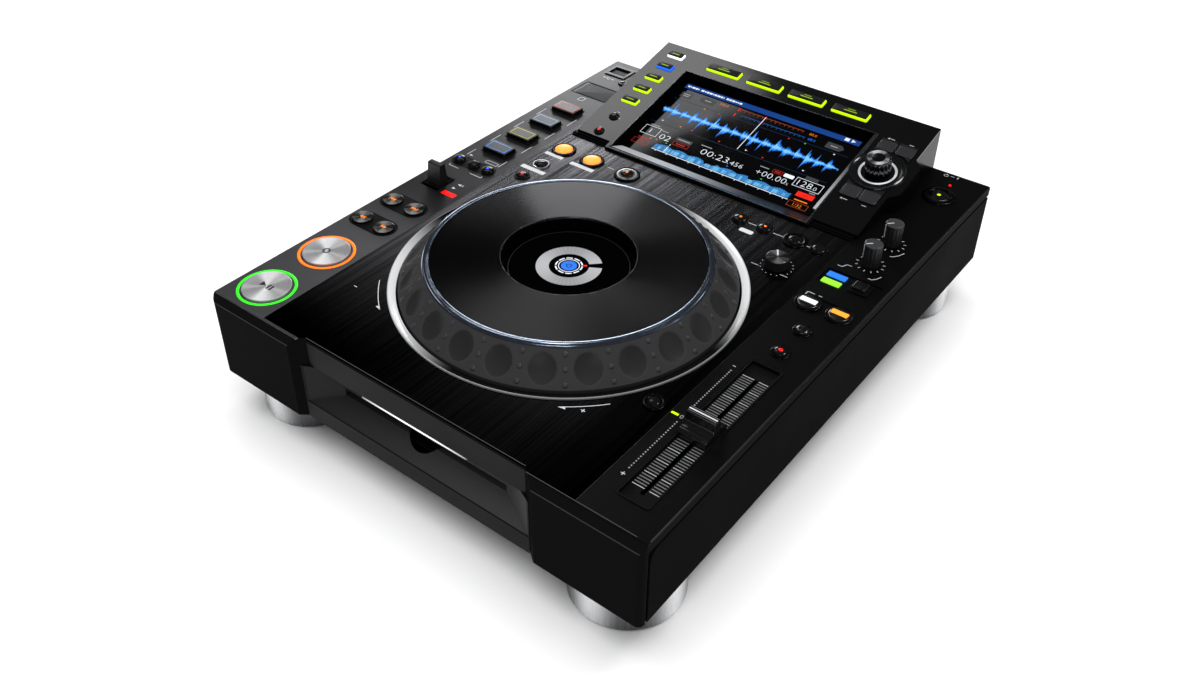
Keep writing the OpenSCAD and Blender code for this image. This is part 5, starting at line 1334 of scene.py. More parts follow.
class PLAYER_OT_screen(bpy.types.Operator):
    """Draws the screen: header, sound wave, rulers, counters and the overview"""

    bl_idname = "disc_player.screen"
    bl_label = "Screen"

    def execute(self, context):
        f = finishes()
        h0, h1, up = SCREEN_OFF + 0.01, SCREEN_OFF + 0.01 + 0.05, 0.06
        flat, over, high_up, on_top = ((h0 + k * up, h1 + k * up) for k in range(4))
        made = {}

        def on(finish):
            """Heap that gathers everything of one finish."""
            if finish not in made:
                made[finish] = Heap(slope)
            return made[finish]

        def bar(finish, heights, *box):
            """Adds a plain bar of one finish."""
            on(finish).slab(rect(*box), *heights)

        bar("header", flat, -0.4, 88.5, 146.8, 5.2)
        place = -72.0
        for w in (1.6, 1.2, 2.4, 1.8, 1.0, 2.6, 1.4, 2.0, 2.4, 1.2, 1.8, 2.6, 1.6, 1.0, 2.2, 1.8, 2.4, 1.4, 1.2, 2.0):
            bar("white", over, place + w / 2, 88.6, w, 1.7 if w > 1.5 else 1.2)
            place += w + (1.9 if w == 1.0 else 0.5)
        bar("white", over, 62.6, 88.8, 3.4, 3.0)
        on("white").slab(triangle(67.8, 88.8, 3.0, 3.0), *over)

        x = np.arange(-74.2, 72.4, 0.21)
        low_h, high_h = wave_height(x, 0.4), wave_height(x, 1.7)
        taper = np.clip((73.5 - np.abs(x + 1)) / 6, 0.3, 1)
        for finish, size, z in (("wave_deep", 14.5, 0.0), ("wave_mid", 11.5, up), ("wave_core", 5.4, 2 * up)):
            keep = 1.0 if size > 10 else np.where((x + 74) % 8.6 < 6.0, 1.0, 0.12)
            high = (high_h * size * keep + 0.1) * taper
            low = (low_h * size * 0.94 * keep + 0.1) * taper
            on(finish).band(np.stack([x, 58.2 - low], -1), np.stack([x, 58.2 + high], -1), h0 + z, h1 + z)

        for k in range(15):
            bar("rust", flat, -21.0 + k * 3.7, 81.9, 0.3, 1.6 if k % 4 else 2.6)
            bar("sea", flat, -17.0 + k * 3.7, 76.2, 0.3, 1.4 if k % 4 else 2.4)
        bar("rust", flat, 5.0, 82.9, 53.0, 0.35)
        bar("sea", flat, 9.0, 77.2, 53.0, 0.35)
        for pv, w in ((72.4, 146.0), (42.6, 146.0), (58.2, 148.0)):
            bar("line", flat, -1.0, pv, w, 0.3)
        for px, pv, finish in ((-22.6, 82.2, "red"), (-0.4, 82.6, "red"), (-0.4, 77.0, "red"), (-22.6, 75.8, "red")):
            bar(finish, over, px, pv, 0.7, 3.6)
        for px, pv, finish, way in (
            (-33.0, 71.4, "red", 1), (-45.6, 71.0, "orange", 1), (-50.5, 45.6, "orange", -1),
            (-40.2, 46.0, "red", 1), (-16.0, 45.0, "red", 1), (20.4, 44.6, "red", 1),
            (26.2, 70.8, "red", 1), (38.6, 71.4, "green", -1), (52.0, 46.0, "white", 1),
            (-66.0, 45.8, "white", 1), (62.0, 70.6, "white", -1), (6.0, 45.8, "white", 1),
            (-57.6, 25.6, "orange", 1), (-49.4, 25.4, "green", -1), (30.8, 25.0, "green", -1),
            (-62.6, 24.8, "orange", -1), (3.4, 25.2, "blue", 1),
        ):
            on(finish).slab(triangle(px, pv, 1.5, 1.3, way), *over)
        numerals(on("orange"), "88.0", 36.4, 80.8, 2.6, *flat)
        numerals(on("blue"), "88.0", 38.0, 75.6, 2.6, *flat)
        numerals(on("orange"), "102.0", -38.6, 80.4, 2.6, *flat)
        on("tab").slab(outline_box(9.4, 6.4, 0.6, 3, -67.0, 78.6), *flat)
        on("tab").slab([(-56.0, 79.8), (-53.0, 76.6), (-42.4, 76.6), (-42.4, 83.0), (-53.0, 83.0)], *flat)
        on("tab").slab([(52.2, 74.6), (63.2, 74.6), (66.0, 77.8), (63.2, 81.0), (52.2, 81.0)], *flat)
        for px, pv, w in ((-67.0, 79.6, 6.0), (-67.0, 77.6, 5.0), (-48.4, 79.8, 5.4), (58.4, 77.8, 5.4)):
            bar("grey", over, px, pv, w, 0.8)

        white = on("white")
        white.slab(rect(-0.4, 63.6, 0.45, 39.6), *on_top)
        white.frame(rect(-67.4, 32.2, 13.8, 9.6), 0.3, *flat)
        white.frame(rect(62.4, 34.4, 20.6, 8.8), 0.35, *flat)
        numerals(white, "1", -67.6, 29.6, 5.0, *flat, 1.3, middle=True)
        numerals(white, "02", -58.0, 27.4, 5.9, *flat, 1.25)
        end = numerals(white, "00:23", -22.0, 27.4, 6.2, *flat, 1.3)
        numerals(white, ".456", end + 0.7, 27.4, 4.6, *flat, 1.15)
        end = numerals(white, "+00.00", 23.6, 27.8, 5.8, *flat, 1.12)
        numerals(white, "%", end + 0.4, 27.8, 2.4, *flat)
        end = numerals(white, "128", 54.6, 31.6, 5.9, *flat, 1.1)
        numerals(white, ".0", end + 0.4, 31.6, 3.8, *flat, 1.1)
        white.slab(rect(-45.6, 25.0, 0.45, 1.6), *flat)
        for px, pv, w in (
            (-67.4, 38.6, 8.0), (-57.0, 35.8, 6.0), (-21.0, 36.0, 9.0), (27.0, 36.4, 7.0), (69.0, 28.4, 4.6)
        ):
            bar("grey", flat, px, pv, w, 0.75)
        on("tab").slab(outline_box(13.4, 3.8, 0.5, 3, -38.8, 33.4), *flat)
        bar("grey", over, -38.8, 33.4, 10.0, 0.8)
        on("wine").frame(outline_box(13.4, 4.0, 0.5, 3, -38.8, 28.6), 0.3, *flat)
        bar("wine", flat, -38.8, 28.6, 7.6, 0.8)
        on("wine").frame(outline_box(7.6, 3.6, 0.6, 3, 37.4, 36.4), 0.3, *flat)
        bar("wine", flat, 37.4, 36.4, 4.6, 1.0)
        on("white").slab(outline_box(7.6, 3.4, 0.6, 3, 46.4, 36.4), *flat)
        on("tab").slab(outline_box(9.6, 3.2, 0.6, 3, 61.8, 41.2), *flat)
        bar("red", flat, 65.8, 24.4, 13.0, 4.8)
        numerals(on("dark"), "100", 65.8, 23.2, 2.5, *over, middle=True)
        on("rust").frame(outline_box(14.8, 5.4, 0.4, 3, 65.8, 13.9), 0.3, *flat)
        bar("orange", flat, 65.8, 18.6, 10.0, 0.9)
        numerals(on("orange"), "1/32", 65.8, 12.3, 3.1, *flat, middle=True)
        on("wine").frame(outline_box(13.4, 5.2, 0.4, 3, -67.4, 18.6), 0.3, *flat)
        numerals(on("wine"), "128", -67.4, 17.0, 3.0, *flat, middle=True)
        bar("wine", flat, -67.4, 23.0, 9.6, 0.8)

        ox = np.arange(-55.5, 57.0, 0.5)
        tall = 4.6 + 1.9 * np.abs(np.sin(ox * 0.23)) * (0.5 + 0.5 * np.sin(ox * 1.7) ** 2)
        quiet = ((ox > -14) & (ox < -4)) | ((ox > 22) & (ox < 27))
        tall = np.where(quiet, tall * 0.55, tall)
        on("over_blue").band(np.stack([ox, np.full(len(ox), 17.0)], -1), np.stack([ox, 17.0 + tall], -1), *flat)
        for k in range(16):
            w = 2.0 + (k * 37 % 5)
            cx = -51.0 + k * 6.9
            bar("over_pale", over, cx, 18.9, w, 3.2 + (k * 17 % 3) * 0.5)
        for k in range(24):
            bar("dark", high_up, -53.0 + k * 4.8, 19.6, 0.25, 5.0)
        white.slab(rect(0.6, 16.2, 113.0, 0.5), *flat)
        for k in range(12):
            white.slab(rect(-52.0 + k * 9.6, 15.4, 0.4, 1.2), *flat)
        white.slab(rect(-45.6, 19.8, 0.4, 6.4), *on_top)
        for key, heap in made.items():
            name = "screen_" + key
            heap.fix(name, getattr(f, name), "display_panel", 0)
        return {"FINISHED"}


class PLAYER_OT_display_rim(bpy.types.Operator):
    """Makes the screen's bright rim, the walls of its window, and the lit edges and caps of the keys"""

    bl_idname = "disc_player.display_rim"
    bl_label = "Display rim and keys"

    def execute(self, context):
        f = finishes()
        window = [(-77.0, -5.0), (83.0, -5.0), (83.0, 94.0), (-77.0, 94.0)]
        rim = Heap(slope).frame(inset(window, -0.7), 0.7, -0.2, 0.12)
        rim.fix("screen_rim", f.rim_silver, "display_housing", 0)

        wall = np.array([[-76.9, 8.15, -8.95], [82.9, 8.15, -8.95], [82.9, -4.8, -0.15], [-76.9, -4.8, -0.15]])
        strip = Heap(slope).block(wall, wall + np.array([0.0, 0.56, 0.83]) * 0.08)
        strip.fix("screen_front_wall", f.front_wall, "display_housing", 0)
        side = Heap(slope).slab(rect(81.7, 51.4, 2.2, 85.0), -1.4, -0.35)
        side.fix("screen_side_wall", f.window_side, "display_housing", 0)

        colours = (f.lamp_white, f.lamp_blue, f.lamp_lime, f.lamp_lime, f.lamp_lime)
        caps = Heap(slope)
        for k, colour in enumerate(colours):
            v = 106.13 - k * KEY_STEP
            glow = Heap(slope).slab(outline_box(13.5, 6.5, 0.8, 4, -94.0, v), -2.0, 0.95, 0.2)
            glow.own("source_key_light_%d" % k, "source_keys", colour, 40, ("source_keys",) if k == 0 else ())
            caps.slab(outline_box(12.5, 5.3, 0.7, 4, -94.5, v + 0.6), -1.0, 1.4, 0.25)
        caps.own("source_key_caps", "source_keys", f.key)

        glow, caps = Heap(slope), Heap(slope)
        for k in range(4):
            x, v = -50 + BROWSE_STEP * k, 105.83
            glow.slab(outline_box(28.0, 8.0, 0.8, 4, x, v), -2.0, 0.95, 0.25)
            caps.slab(outline_box(27.0, 6.7, 0.7, 4, x - 0.5, v + 0.65), -1.0, 1.4, 0.25)
        glow.own("browse_key_lights", "browse_keys", f.lamp_lime, 40, ("browse_keys",))
        caps.own("browse_key_caps", "browse_keys", f.key)
        return {"FINISHED"}


class PLAYER_OT_selector(bpy.types.Operator):
    """Makes the selector's dish, its ring of light, its fluted knob and the pads round it"""

    bl_idname = "disc_player.selector"
    bl_label = "Selector"

    def execute(self, context):
        f = finishes()
        x, v = 100.5, 60.53
        bowl = [(13.0, -1.4), (19.2, -1.4), (19.2, 0.35), (18.9, 0.75), (18.4, 0.8), (17.9, 0.55), (16.4, -0.25),
                (14.6, -0.55), (13.0, -0.6)]
        dish = Heap(slope).turned(bowl, x, v, 128)
        dish.fix("selector_dish", f.dish, "display_housing", 35)
        lip = Heap(slope).ring(x, v, 18.35, 18.75, 0.6, 0.84, 128)
        lip.fix("selector_dish_lip", f.edge_light, "display_housing", 0)
        cone = Heap(slope)
        cone.turned([(9.0, -1.5), (13.0, -1.5), (13.0, -0.5), (12.7, -0.42), (9.4, -1.1), (9.0, -1.1)], x, v, 128)
        with_axis(cone.fix("selector_ring", f.ring_silver, "light_guides", 35), slope([[x, v, 0]])[0])

        # Fluted knob: at each height h its radius is base + ripple cos(18 a), and the ripple fades out at the top
        steps = 216
        a = np.linspace(0, 2 * math.pi, steps, endpoint=False)[:, None]
        h = np.array([[1.0, 1.35, 10.6, 11.3, 11.8, 12.0]])
        base = np.array([[8.2, 8.4, 8.4, 8.2, 7.8, 7.4]])
        ripple = np.array([[0.3, 0.36, 0.36, 0.25, 0.08, 0.0]])
        r = base + ripple * np.cos(18 * a)
        verts = np.stack([x + r * np.cos(a), v + r * np.sin(a), np.broadcast_to(h, r.shape)], -1).reshape(-1, 3)
        faces = grid_faces(steps, h.shape[1], close_u=True)
        faces += [[i * h.shape[1] for i in range(steps)][::-1], [i * h.shape[1] + h.shape[1] - 1 for i in range(steps)]]
        Heap(slope).add(verts, faces).own("selector_flutes", "selector_knob", f.flute, 40, ("selector_knob",))
        cap("selector_top", x, v, 7.35, 11.9, "selector_knob", f.spun_bright, "selector_knob", slope, 0.1, 96)

        pads = Heap(slope)
        for x1, v1, w, d in (
            (94.6, 85.05, 12.4, 10.1), (108.6, 85.05, 12.4, 10.1), (94.8, 34.2, 12.6, 11.0), (108.4, 34.2, 12.2, 11.0)
        ):
            pads.slab(outline_box(w, d, 1.4, 6, x1, v1), 0.66, 1.18, 0.4, 4)
        pads.own("selector_pad_caps", "selector_pads", f.pad_gloss, 40)
        lines = Heap(slope).bars(PRINT, (-89.2, 23.9, 1.6, 0.45), (-94.0, 29.6, 2.4, 0.45))
        for x1, v1 in ((94.6, 93.6), (108.6, 93.6), (94.8, 26.0), (108.4, 26.0)):
            lines.slab(rect(x1, v1, 3.2, 0.45), *PRINT)
        lines.slab(triangle(91.6, 93.6, 1.8, 1.6, -1), *PRINT)
        lines.slab(triangle(91.8, 26.0, 1.8, 1.6, -1), *PRINT)
        lines.fix("display_prints", f.tick_white, "display_housing", 0)
        marks, ink = Heap(slope), (1.38, 1.44)
        for k in range(5):
            marks.slab(rect(-94.6, 106.7 - k * KEY_STEP, 6.4, 0.75), *ink)
        marks.own("source_key_marks", "source_keys", f.key_mark, 0)
        marks = Heap(slope)
        for k in range(4):
            marks.bars(ink, (-50.5 + BROWSE_STEP * k, 106.0, 10.0, 0.8), (-50.5 + BROWSE_STEP * k, 108.0, 6.0, 0.5))
        marks.own("browse_key_marks", "browse_keys", f.key_mark, 0)
        return {"FINISHED"}


# ---------------------------------------------------------------- small buttons


def dome_button(name, body, x, y, r, lamp=None, place=deck, material=None, rise=1.0, base=0.9, spot=0.9):
    """Glossy domed cap over a round button: the profile is an upright edge, then the arc
    (0.985 r cos u, base + 0.3 + rise sin 1.19 u). A lamp is a bead on its top."""
    f = finishes()
    t = np.linspace(0.25, math.pi / 2, 9)
    top = base + 0.3
    arc = [(max(r * math.cos(a - 0.25) * 0.985, 0.0001), top + rise * math.sin((a - 0.25) * 1.19)) for a in t]
    arc[-1] = (0.0001, arc[-1][1])
    h = Heap(place).turned([(0.0001, base - 0.3), (r, base - 0.3), (r, top), *arc], x, y, 64)
    h.own(name, body, material or f.gloss_black, 50)
    if lamp:
        z = arc[-1][1]
        bead = Heap(place)
        bead.turned(
            [(0.0001, z - 0.3), (spot, z - 0.3), (spot, z + 0.02), (spot * 0.75, z + 0.2), (0.0001, z + 0.28)], x, y, 24
        )
        bead.make(name + "_lamp", body, lamp, "light_guides", 50)


def collar_ring(heap, x, y, r0, r1, height=1.15, foot=-0.2):
    """Adds a rounded collar: its section is a half round between the two radii on short upright walls."""
    t = np.linspace(0, math.pi, 9)
    mid, half = (r0 + r1) / 2, (r1 - r0) / 2
    arc = [(mid + half * math.cos(a), height - 0.45 + 0.45 * math.sin(a)) for a in t]
    heap.turned([(r0, foot), (r1, foot), *arc], x, y, 96)


def stadium(x0, x1, y, r, steps=14):
    """Outline of a rounded bar along x: half circles about its two ends."""
    a = np.linspace(-math.pi / 2, math.pi / 2, steps)
    right = np.stack([x1 + r * np.cos(a), y + r * np.sin(a)], -1)
    left = np.stack([x0 - r * np.cos(a), y - r * np.sin(a)], -1)
    return np.concatenate([right, left])


class PLAYER_OT_small_buttons(bpy.types.Operator):
    """Makes the domed caps, lamps and collars of the small round buttons"""

    bl_idname = "disc_player.small_buttons"
    bl_label = "Small buttons"

    def execute(self, context):
        f = finishes()
        dome_button("bank_left", "bank_buttons", -151.0, 0.3, 4.3, f.lamp_blue, rise=0.8, base=1.22)
        dome_button("bank_right", "bank_buttons", -124.6, 0.3, 4.3, f.lamp_blue, rise=0.8, base=1.22)
        h = Heap().slab(outline_box(7.2, 7.2, 1.6, 6, -137.5, 0.3), 0.95, 2.35, 0.9, 5)
        h.own("bank_middle", "bank_buttons", f.gloss_black, 50)

        for body, x in (("loop_in_button", -101.6), ("loop_out_button", -76.1)):
            dome_button(body + "_dome", body, x, LOOP_Y, 6.25, None, deck, f.loop_dome, 0.9, 0.95)
        dome_button("reloop_dome", "reloop_button", -45.4, LOOP_Y, 4.6, f.lamp_orange, rise=1.1, base=1.0)
        dome_button("beat_loop_dome", "beat_loop_button", -101.1, 30.3, 4.1)
        dome_button("slip_dome", "slip_button", -101.6, 10.5, 4.1, f.lamp_red, spot=1.15)
        dome_button("call_left_dome", "call_buttons", 46.7, 57.5, 4.7, f.lamp_orange)
        dome_button("call_right_dome", "call_buttons", 65.3, 57.5, 4.7, f.lamp_orange)
        dome_button("delete_dome", "memory_buttons", 87.6, 57.5, 4.5, rise=0.8)
        dome_button("memory_dome", "memory_buttons", 104.8, 57.5, 4.7)
        dome_button("reset_dome", "tempo_reset_button", 105.5, -123.9, 3.45, rise=0.8)
        dome_button("range_dome", "tempo_mode_buttons", 137.1, -21.3, 4.1, material=f.gloss_metal)
        dome_button("master_tempo_dome", "tempo_mode_buttons", 137.1, -45.9, 4.1, f.lamp_red, spot=1.3)
        dome_button("stop_dome", "usb_stop_button", -131.5, 167.9, 2.0, rise=0.5)
        dome_button(
            "eject_dome", "eject_button", 137.4, 164.0, 7.0, f.lamp_lime, material=f.gloss_metal, rise=0.7, spot=1.25
        )
        for k, (name, v) in enumerate((("quantize_dome", 5.4), ("time_dome", 23.9))):
            dome_button(name, "mode_buttons", -94.0, v, 3.6, f.lamp_red if k == 0 else None, slope, base=0.6, spot=1.1)

        dark = Heap()
        for x, y, r0, r1, up in (
            (-101.6, LOOP_Y, 6.75, 9.0, 1.2), (-76.1, LOOP_Y, 6.75, 9.0, 1.2), (-45.4, LOOP_Y, 7.6, 9.2, 1.2),
            (-101.6, 10.5, 4.65, 5.7, 0.8), (87.6, 57.5, 5.2, 8.3, 1.25), (105.5, -123.9, 3.95, 6.5, 1.15),
            (137.4, 164.0, 7.85, 11.0, 1.5), (137.1, -21.3, 4.6, 5.9, 0.7), (137.1, -45.9, 4.6, 5.9, 0.7),
            (46.7, 57.5, 5.2, 6.3, 0.7), (65.3, 57.5, 5.2, 6.3, 0.7), (104.8, 57.5, 5.2, 6.3, 0.7),
        ):
            collar_ring(dark, x, y, r0, r1, up)
        dark.fix("dark_collars", f.collar, "button_trims", 50)
        silver = Heap()
        collar_ring(silver, -45.4, LOOP_Y, 4.95, 7.45, 1.1)
        collar_ring(silver, -101.1, 30.3, 4.65, 6.5, 1.0)
        silver.fix("silver_collars", f.satin_ring, "button_trims", 50)

        pill = Heap()
        for y in (SEARCH_Y, TRACK_Y):
            pill.slab(stadium(*PAIR_X, y, 8.9), -0.15, 0.05, 0.05, 1)
        pill.slab(stadium(-151.0, -124.6, 0.3, 5.8), -0.15, 0.05, 0.05, 1)
        pill.fix("button_pills", f.pill, "top_case", 0)
        edge = Heap()
        for y in (SEARCH_Y, TRACK_Y):
            edge.frame(stadium(*PAIR_X, y, 9.05), 0.22, 0.0, 0.09)
        edge.frame(stadium(-151.0, -124.6, 0.3, 5.9), 0.18, 0.0, 0.09)
        edge.fix("pill_edges", f.collar, "top_case", 0)
        return {"FINISHED"}


class PLAYER_OT_sync(bpy.types.Operator):
    """Makes the two matching round buttons with lit bars, and the button and lit bars of the jog mode switch"""

    bl_idname = "disc_player.sync"
    bl_label = "Sync and mode buttons"

    def execute(self, context):
        f = finishes()
        rings = Heap()
        for body, x, lamp in (("sync_button", 126.5, f.bar_white), ("master_button", 147.1, f.bar_orange)):
            dome_button(body + "_dome", body, x, 4.4, 6.6, None, material=f.gloss_metal, rise=0.55)
            h = Heap().slab(outline_box(10.6, 4.0, 0.5, 4, x, 5.0), 1.2, 2.05, 0.15)
            h.make(body + "_bar", body, lamp, "light_guides", 40)
            collar_ring(rings, x, 4.4, 7.25, 8.6, 0.75)
        rings.fix("sync_collars", f.collar, "top_case", 50)
        for name, y, w, lamp in (
            ("jog_mode_light_blue", 39.4, 12.6, f.bar_blue), ("jog_mode_light_green", 31.6, 12.4, f.bar_green)
        ):
            h = Heap().slab(outline_box(w, 4.9, 0.4, 4, 127.3, y), -0.3, 0.42, 0.1)
            h.fix(name, lamp, "light_guides", 40)
        box = Heap().slab(outline_box(13.2, 11.8, 0.8, 5, 144.6, 36.6), -0.3, 0.16, 0.1)
        box.fix("mode_well", f.pill, "top_case", 30)
        m = Heap().slab(outline_box(8.6, 8.6, 1.2, 6, 144.1, 37.4), 1.02, 1.95, 0.5, 5)
        m.own("mode_cap", "jog_mode_button", f.gloss_metal, 50)
        return {"FINISHED"}


# ---------------------------------------------------------------- the left strip


def icon_lines(heap, points, width, z0, z1):
    """Adds a chain of straight bars through the points."""
    for a, b in zip(points[:-1], points[1:]):
        heap.line(a, b, width, z0, z1)


class PLAYER_OT_left_strip(bpy.types.Operator):
    """Makes the pads' lit lines, the lever's shoe, the card lid, the storage port's frame and the strip's prints"""

    bl_idname = "disc_player.left_strip"
    bl_label = "Left strip"

    def execute(self, context):
        f = finishes()
        lines = (("hot_cue_d", f.pad_line_blue), ("hot_cue_c", f.pad_line_yellow),
                 ("hot_cue_b", f.pad_line_pale), ("hot_cue_a", f.pad_line_red))
        for y, (body, paint) in zip(PAD_ROWS, lines):
            h = Heap().slab(outline_box(21.0, 12.6, 0.9, 4, PAD_X, y), 0.98, 3.15, 0.35, 4)
            h.own(body + "_cap", body, f.pad_key, 40)
            h = Heap().frame(outline_box(17.6, 9.2, 0.3, 2, PAD_X, y), 0.62, 3.1, 3.2)
            h.make(body + "_line", body, paint, "light_guides", 0)
            h = Heap().slab(outline_box(16.2, 7.8, 0.2, 2, PAD_X, y), 3.1, 3.18, 0.04, 1)
            h.own(body + "_window", body, f.pad_window, 0)
        base = Heap()
        for y in PAD_ROWS:
            base.slab(outline_box(23.2, 14.8, 1.2, 4, PAD_X, y), -0.1, 0.12, 0.08, 2)
        base.fix("pad_bases", f.pill, "top_case", 30)

        white = Heap()
        for y in PAD_ROWS:
            for x in (-152.2, -122.7):
                white.slab(rect(x, y + (-13.05 if y == PAD_ROWS[-1] else 13.05), 0.45, 11.4), *PRINT)
        for x in (-152.2, -122.7):
            white.slab(rect(x, 13.8, 0.45, 9.4), *PRINT)
        icon_lines(white, [(-152.7, -7.4), (-152.4, -9.4), (-143.4, -9.4)], 0.45, *PRINT)
        icon_lines(white, [(-132.6, -9.4), (-122.6, -9.4), (-122.9, -7.4)], 0.45, *PRINT)
        white.frame(outline_box(10.8, 3.6, 0.5, 3, -129.9, 10.4), 0.35, *PRINT)
        white.slab(triangle(-148.6, 10.0, 2.6, 2.0), *PRINT)
        # Card outline beside the card slot, and the port's symbol
        card = [(-143.2, 124.4), (-138.6, 124.4), (-138.6, 129.6), (-141.6, 129.6), (-143.2, 127.8), (-143.2, 124.4)]
        icon_lines(white, card, 0.4, *PRINT)
        white.slab(rect(-146.0, 168.6, 7.6, 0.45), *PRINT)
        white.slab(triangle(-141.6, 168.6, 2.0, 1.8), *PRINT)
        white.slab(outline_circle(0.8, 16, -150.2, 168.6), *PRINT)
        icon_lines(white, [(-148.6, 168.6), (-147.2, 170.2), (-145.6, 170.2)], 0.4, *PRINT)
        icon_lines(white, [(-147.4, 168.6), (-146.0, 167.0), (-144.6, 167.0)], 0.4, *PRINT)
        # Lever marks: forward, reverse and held reverse arrows
        white.slab(triangle(-127.6, -30.8, 3.0, 2.4), *PRINT)
        white.slab(triangle(-127.6, -25.2, 3.0, 2.4, -1), *PRINT)
        white.slab(rect(-124.6, -25.2, 0.5, 2.4), *PRINT)
        white.fix("left_prints", f.print_white, "top_case", 0)

        rev = Heap().slab(outline_box(11.2, 4.5, 0.4, 3, -125.2, -38.4), -0.1, 0.14, 0.05, 1)
        rev.fix("reverse_lamp", f.lamp_red, "light_guides", 0)

        shoe = Heap().slab(outline_box(17.4, 14.6, 0.8, 5, -142.6, -31.0), -0.15, 0.1, 0.08, 2)
        shoe.fix("lever_well", f.pill, "top_case", 30)
        collar = Heap().frame(outline_box(14.6, 14.6, 1.0, 5, -142.6, -31.0), 0.95, 0.0, 0.75)
        collar.fix("lever_collar", f.gloss_black, "top_case", 30)

        frame_line = Heap().frame(outline_box(33.4, 21.6, 0.8, 4, -139.2, 143.3), 0.9, -0.1, 0.1)
        frame_line.fix("card_frame", f.pill, "top_case", 0)
        lid = Heap().slab(outline_box(27.6, 17.4, 0.5, 4, -137.5, 142.4), 0.0, 0.3, 0.2, 2)
        lid.own("card_lid", "card_door", f.door, 30)

        port = Heap().frame(outline_box(19.6, 17.4, 1.4, 5, -144.8, 182.5), 1.0, 0.0, 0.6)
        port.fix("port_frame", f.satin_ring, "button_trims", 30)
        flap = Heap().slab(outline_box(17.3, 15.1, 0.6, 4, -144.8, 182.5), -1.6, -1.2, 0.1, 1)
        flap.fix("port_floor", f.gloss_black, "button_trims", 30)
        tongue = Heap().slab(outline_box(13.0, 8.6, 0.4, 3, -144.4, 181.6), -1.3, -0.7, 0.2, 2)
        tongue.fix("port_tongue", f.door, "button_trims", 30)
        gap = Heap().frame(outline_box(28.6, 19.6, 0.6, 4, -137.5, 143.0), 0.45, -0.02, 0.06)
        gap.fix("card_lid_gap", f.void_black, "card_door", 0)
        return {"FINISHED"}


# ---------------------------------------------------------------- the right strip and the tempo fader


class PLAYER_OT_knobs(bpy.types.Operator):
    """Puts turned tops and pointers on the knobs, and their scales on the deck"""

    bl_idname = "disc_player.knobs"
    bl_label = "Knobs"

    def execute(self, context):
        f = finishes()
        white, scale = Heap(), Heap()
        for body, y, turn in (("brake_knob", 92.5, 228.0), ("start_knob", 63.5, 224.0)):
            x, top = KNOB_X, 15.5
            profile = [(0.0001, -0.4), (5.75, -0.4), (5.75, -0.1), (5.5, 0.25), (5.0, 0.4), (3.0, 0.34), (0.0001, 0.3)]
            h = Heap().turned([(r, top + z) for r, z in profile], x, y, 64)
            h.own(body + "_top", body, f.knob_top_satin, 40)
            c, d = np.array([x, y]), ray(turn)
            p = Heap().line(c + d * 0.6, c + d * 5.2, 0.75, top + 0.2, top + 0.52)
            p.own(body + "_pointer", body, f.tick_white, 0)
            side = Heap().line(c + d * 5.7, c + d * 6.05, 0.8, 6.0, top - 0.2)
            side.own(body + "_pointer_side", body, f.tick_white, 0)
            for k in range(11):
                e = ray(-235 + 29.0 * k)
                white.line(c + e * 7.6, c + e * 9.3, 0.5, *PRINT)
        icon_lines(white, [(121.6, 50.6), (124.6, 50.6), (126.4, 54.4), (129.4, 54.4)], 0.5, *PRINT)
        icon_lines(white, [(143.0, 49.0), (145.6, 49.2), (147.6, 51.6), (149.0, 55.4)], 0.5, *PRINT)
        icon_lines(white, [(143.0, 79.0), (144.6, 79.6), (147.2, 83.0), (148.8, 87.6)], 0.5, *PRINT)
        white.ring(129.6, 194.3, 1.25, 1.65, *PRINT, 24)
        white.slab(rect(129.6, 195.9, 0.45, 1.8), *PRINT_OVER)
        white.bars(PRINT, (134.0, 195.0, 2.6, 0.4), (137.8, 195.2, 0.8, 2.2))
        icon_lines(white, [(120.8, 11.4), (120.8, 14.8), (125.4, 14.8)], 0.55, *PRINT)
        white.slab(rect(129.2, 14.8, 2.4, 0.5), *PRINT)
        white.fix("right_prints", f.tick_white, "top_case", 0)

        x, y, top = 92.5, 26.0, 7.0
        profile = [(0.0001, -0.3), (7.4, -0.3), (7.4, 0.05), (7.0, 0.35), (6.5, 0.42), (0.0001, 0.2)]
        h = Heap().turned([(r, top + z) for r, z in profile], x, y, 96)
        with_axis(h.own("jog_adjust_top", "jog_adjust_knob", f.knob_top, 30), (x, y, 0))
        p = Heap()
        c, d = np.array([x, y]), ray(122)
        p.line(c + d * 1.2, c + d * 6.9, 1.0, top + 0.2, top + 0.6)
        p.own("jog_adjust_pointer", "jog_adjust_knob", f.print_white, 0)
        for k in range(15):
            scale.slab(outline_circle(0.34, 10, *(c + 10.2 * ray(140 + 20.0 * k))), *PRINT_OVER)
        scale.bars(PRINT, (80.6, 19.6, 5.2, 0.45), (101.2, 19.4, 5.2, 0.45))
        scale.fix("jog_adjust_scale", f.tick_white, "deck_plate", 0)
        return {"FINISHED"}


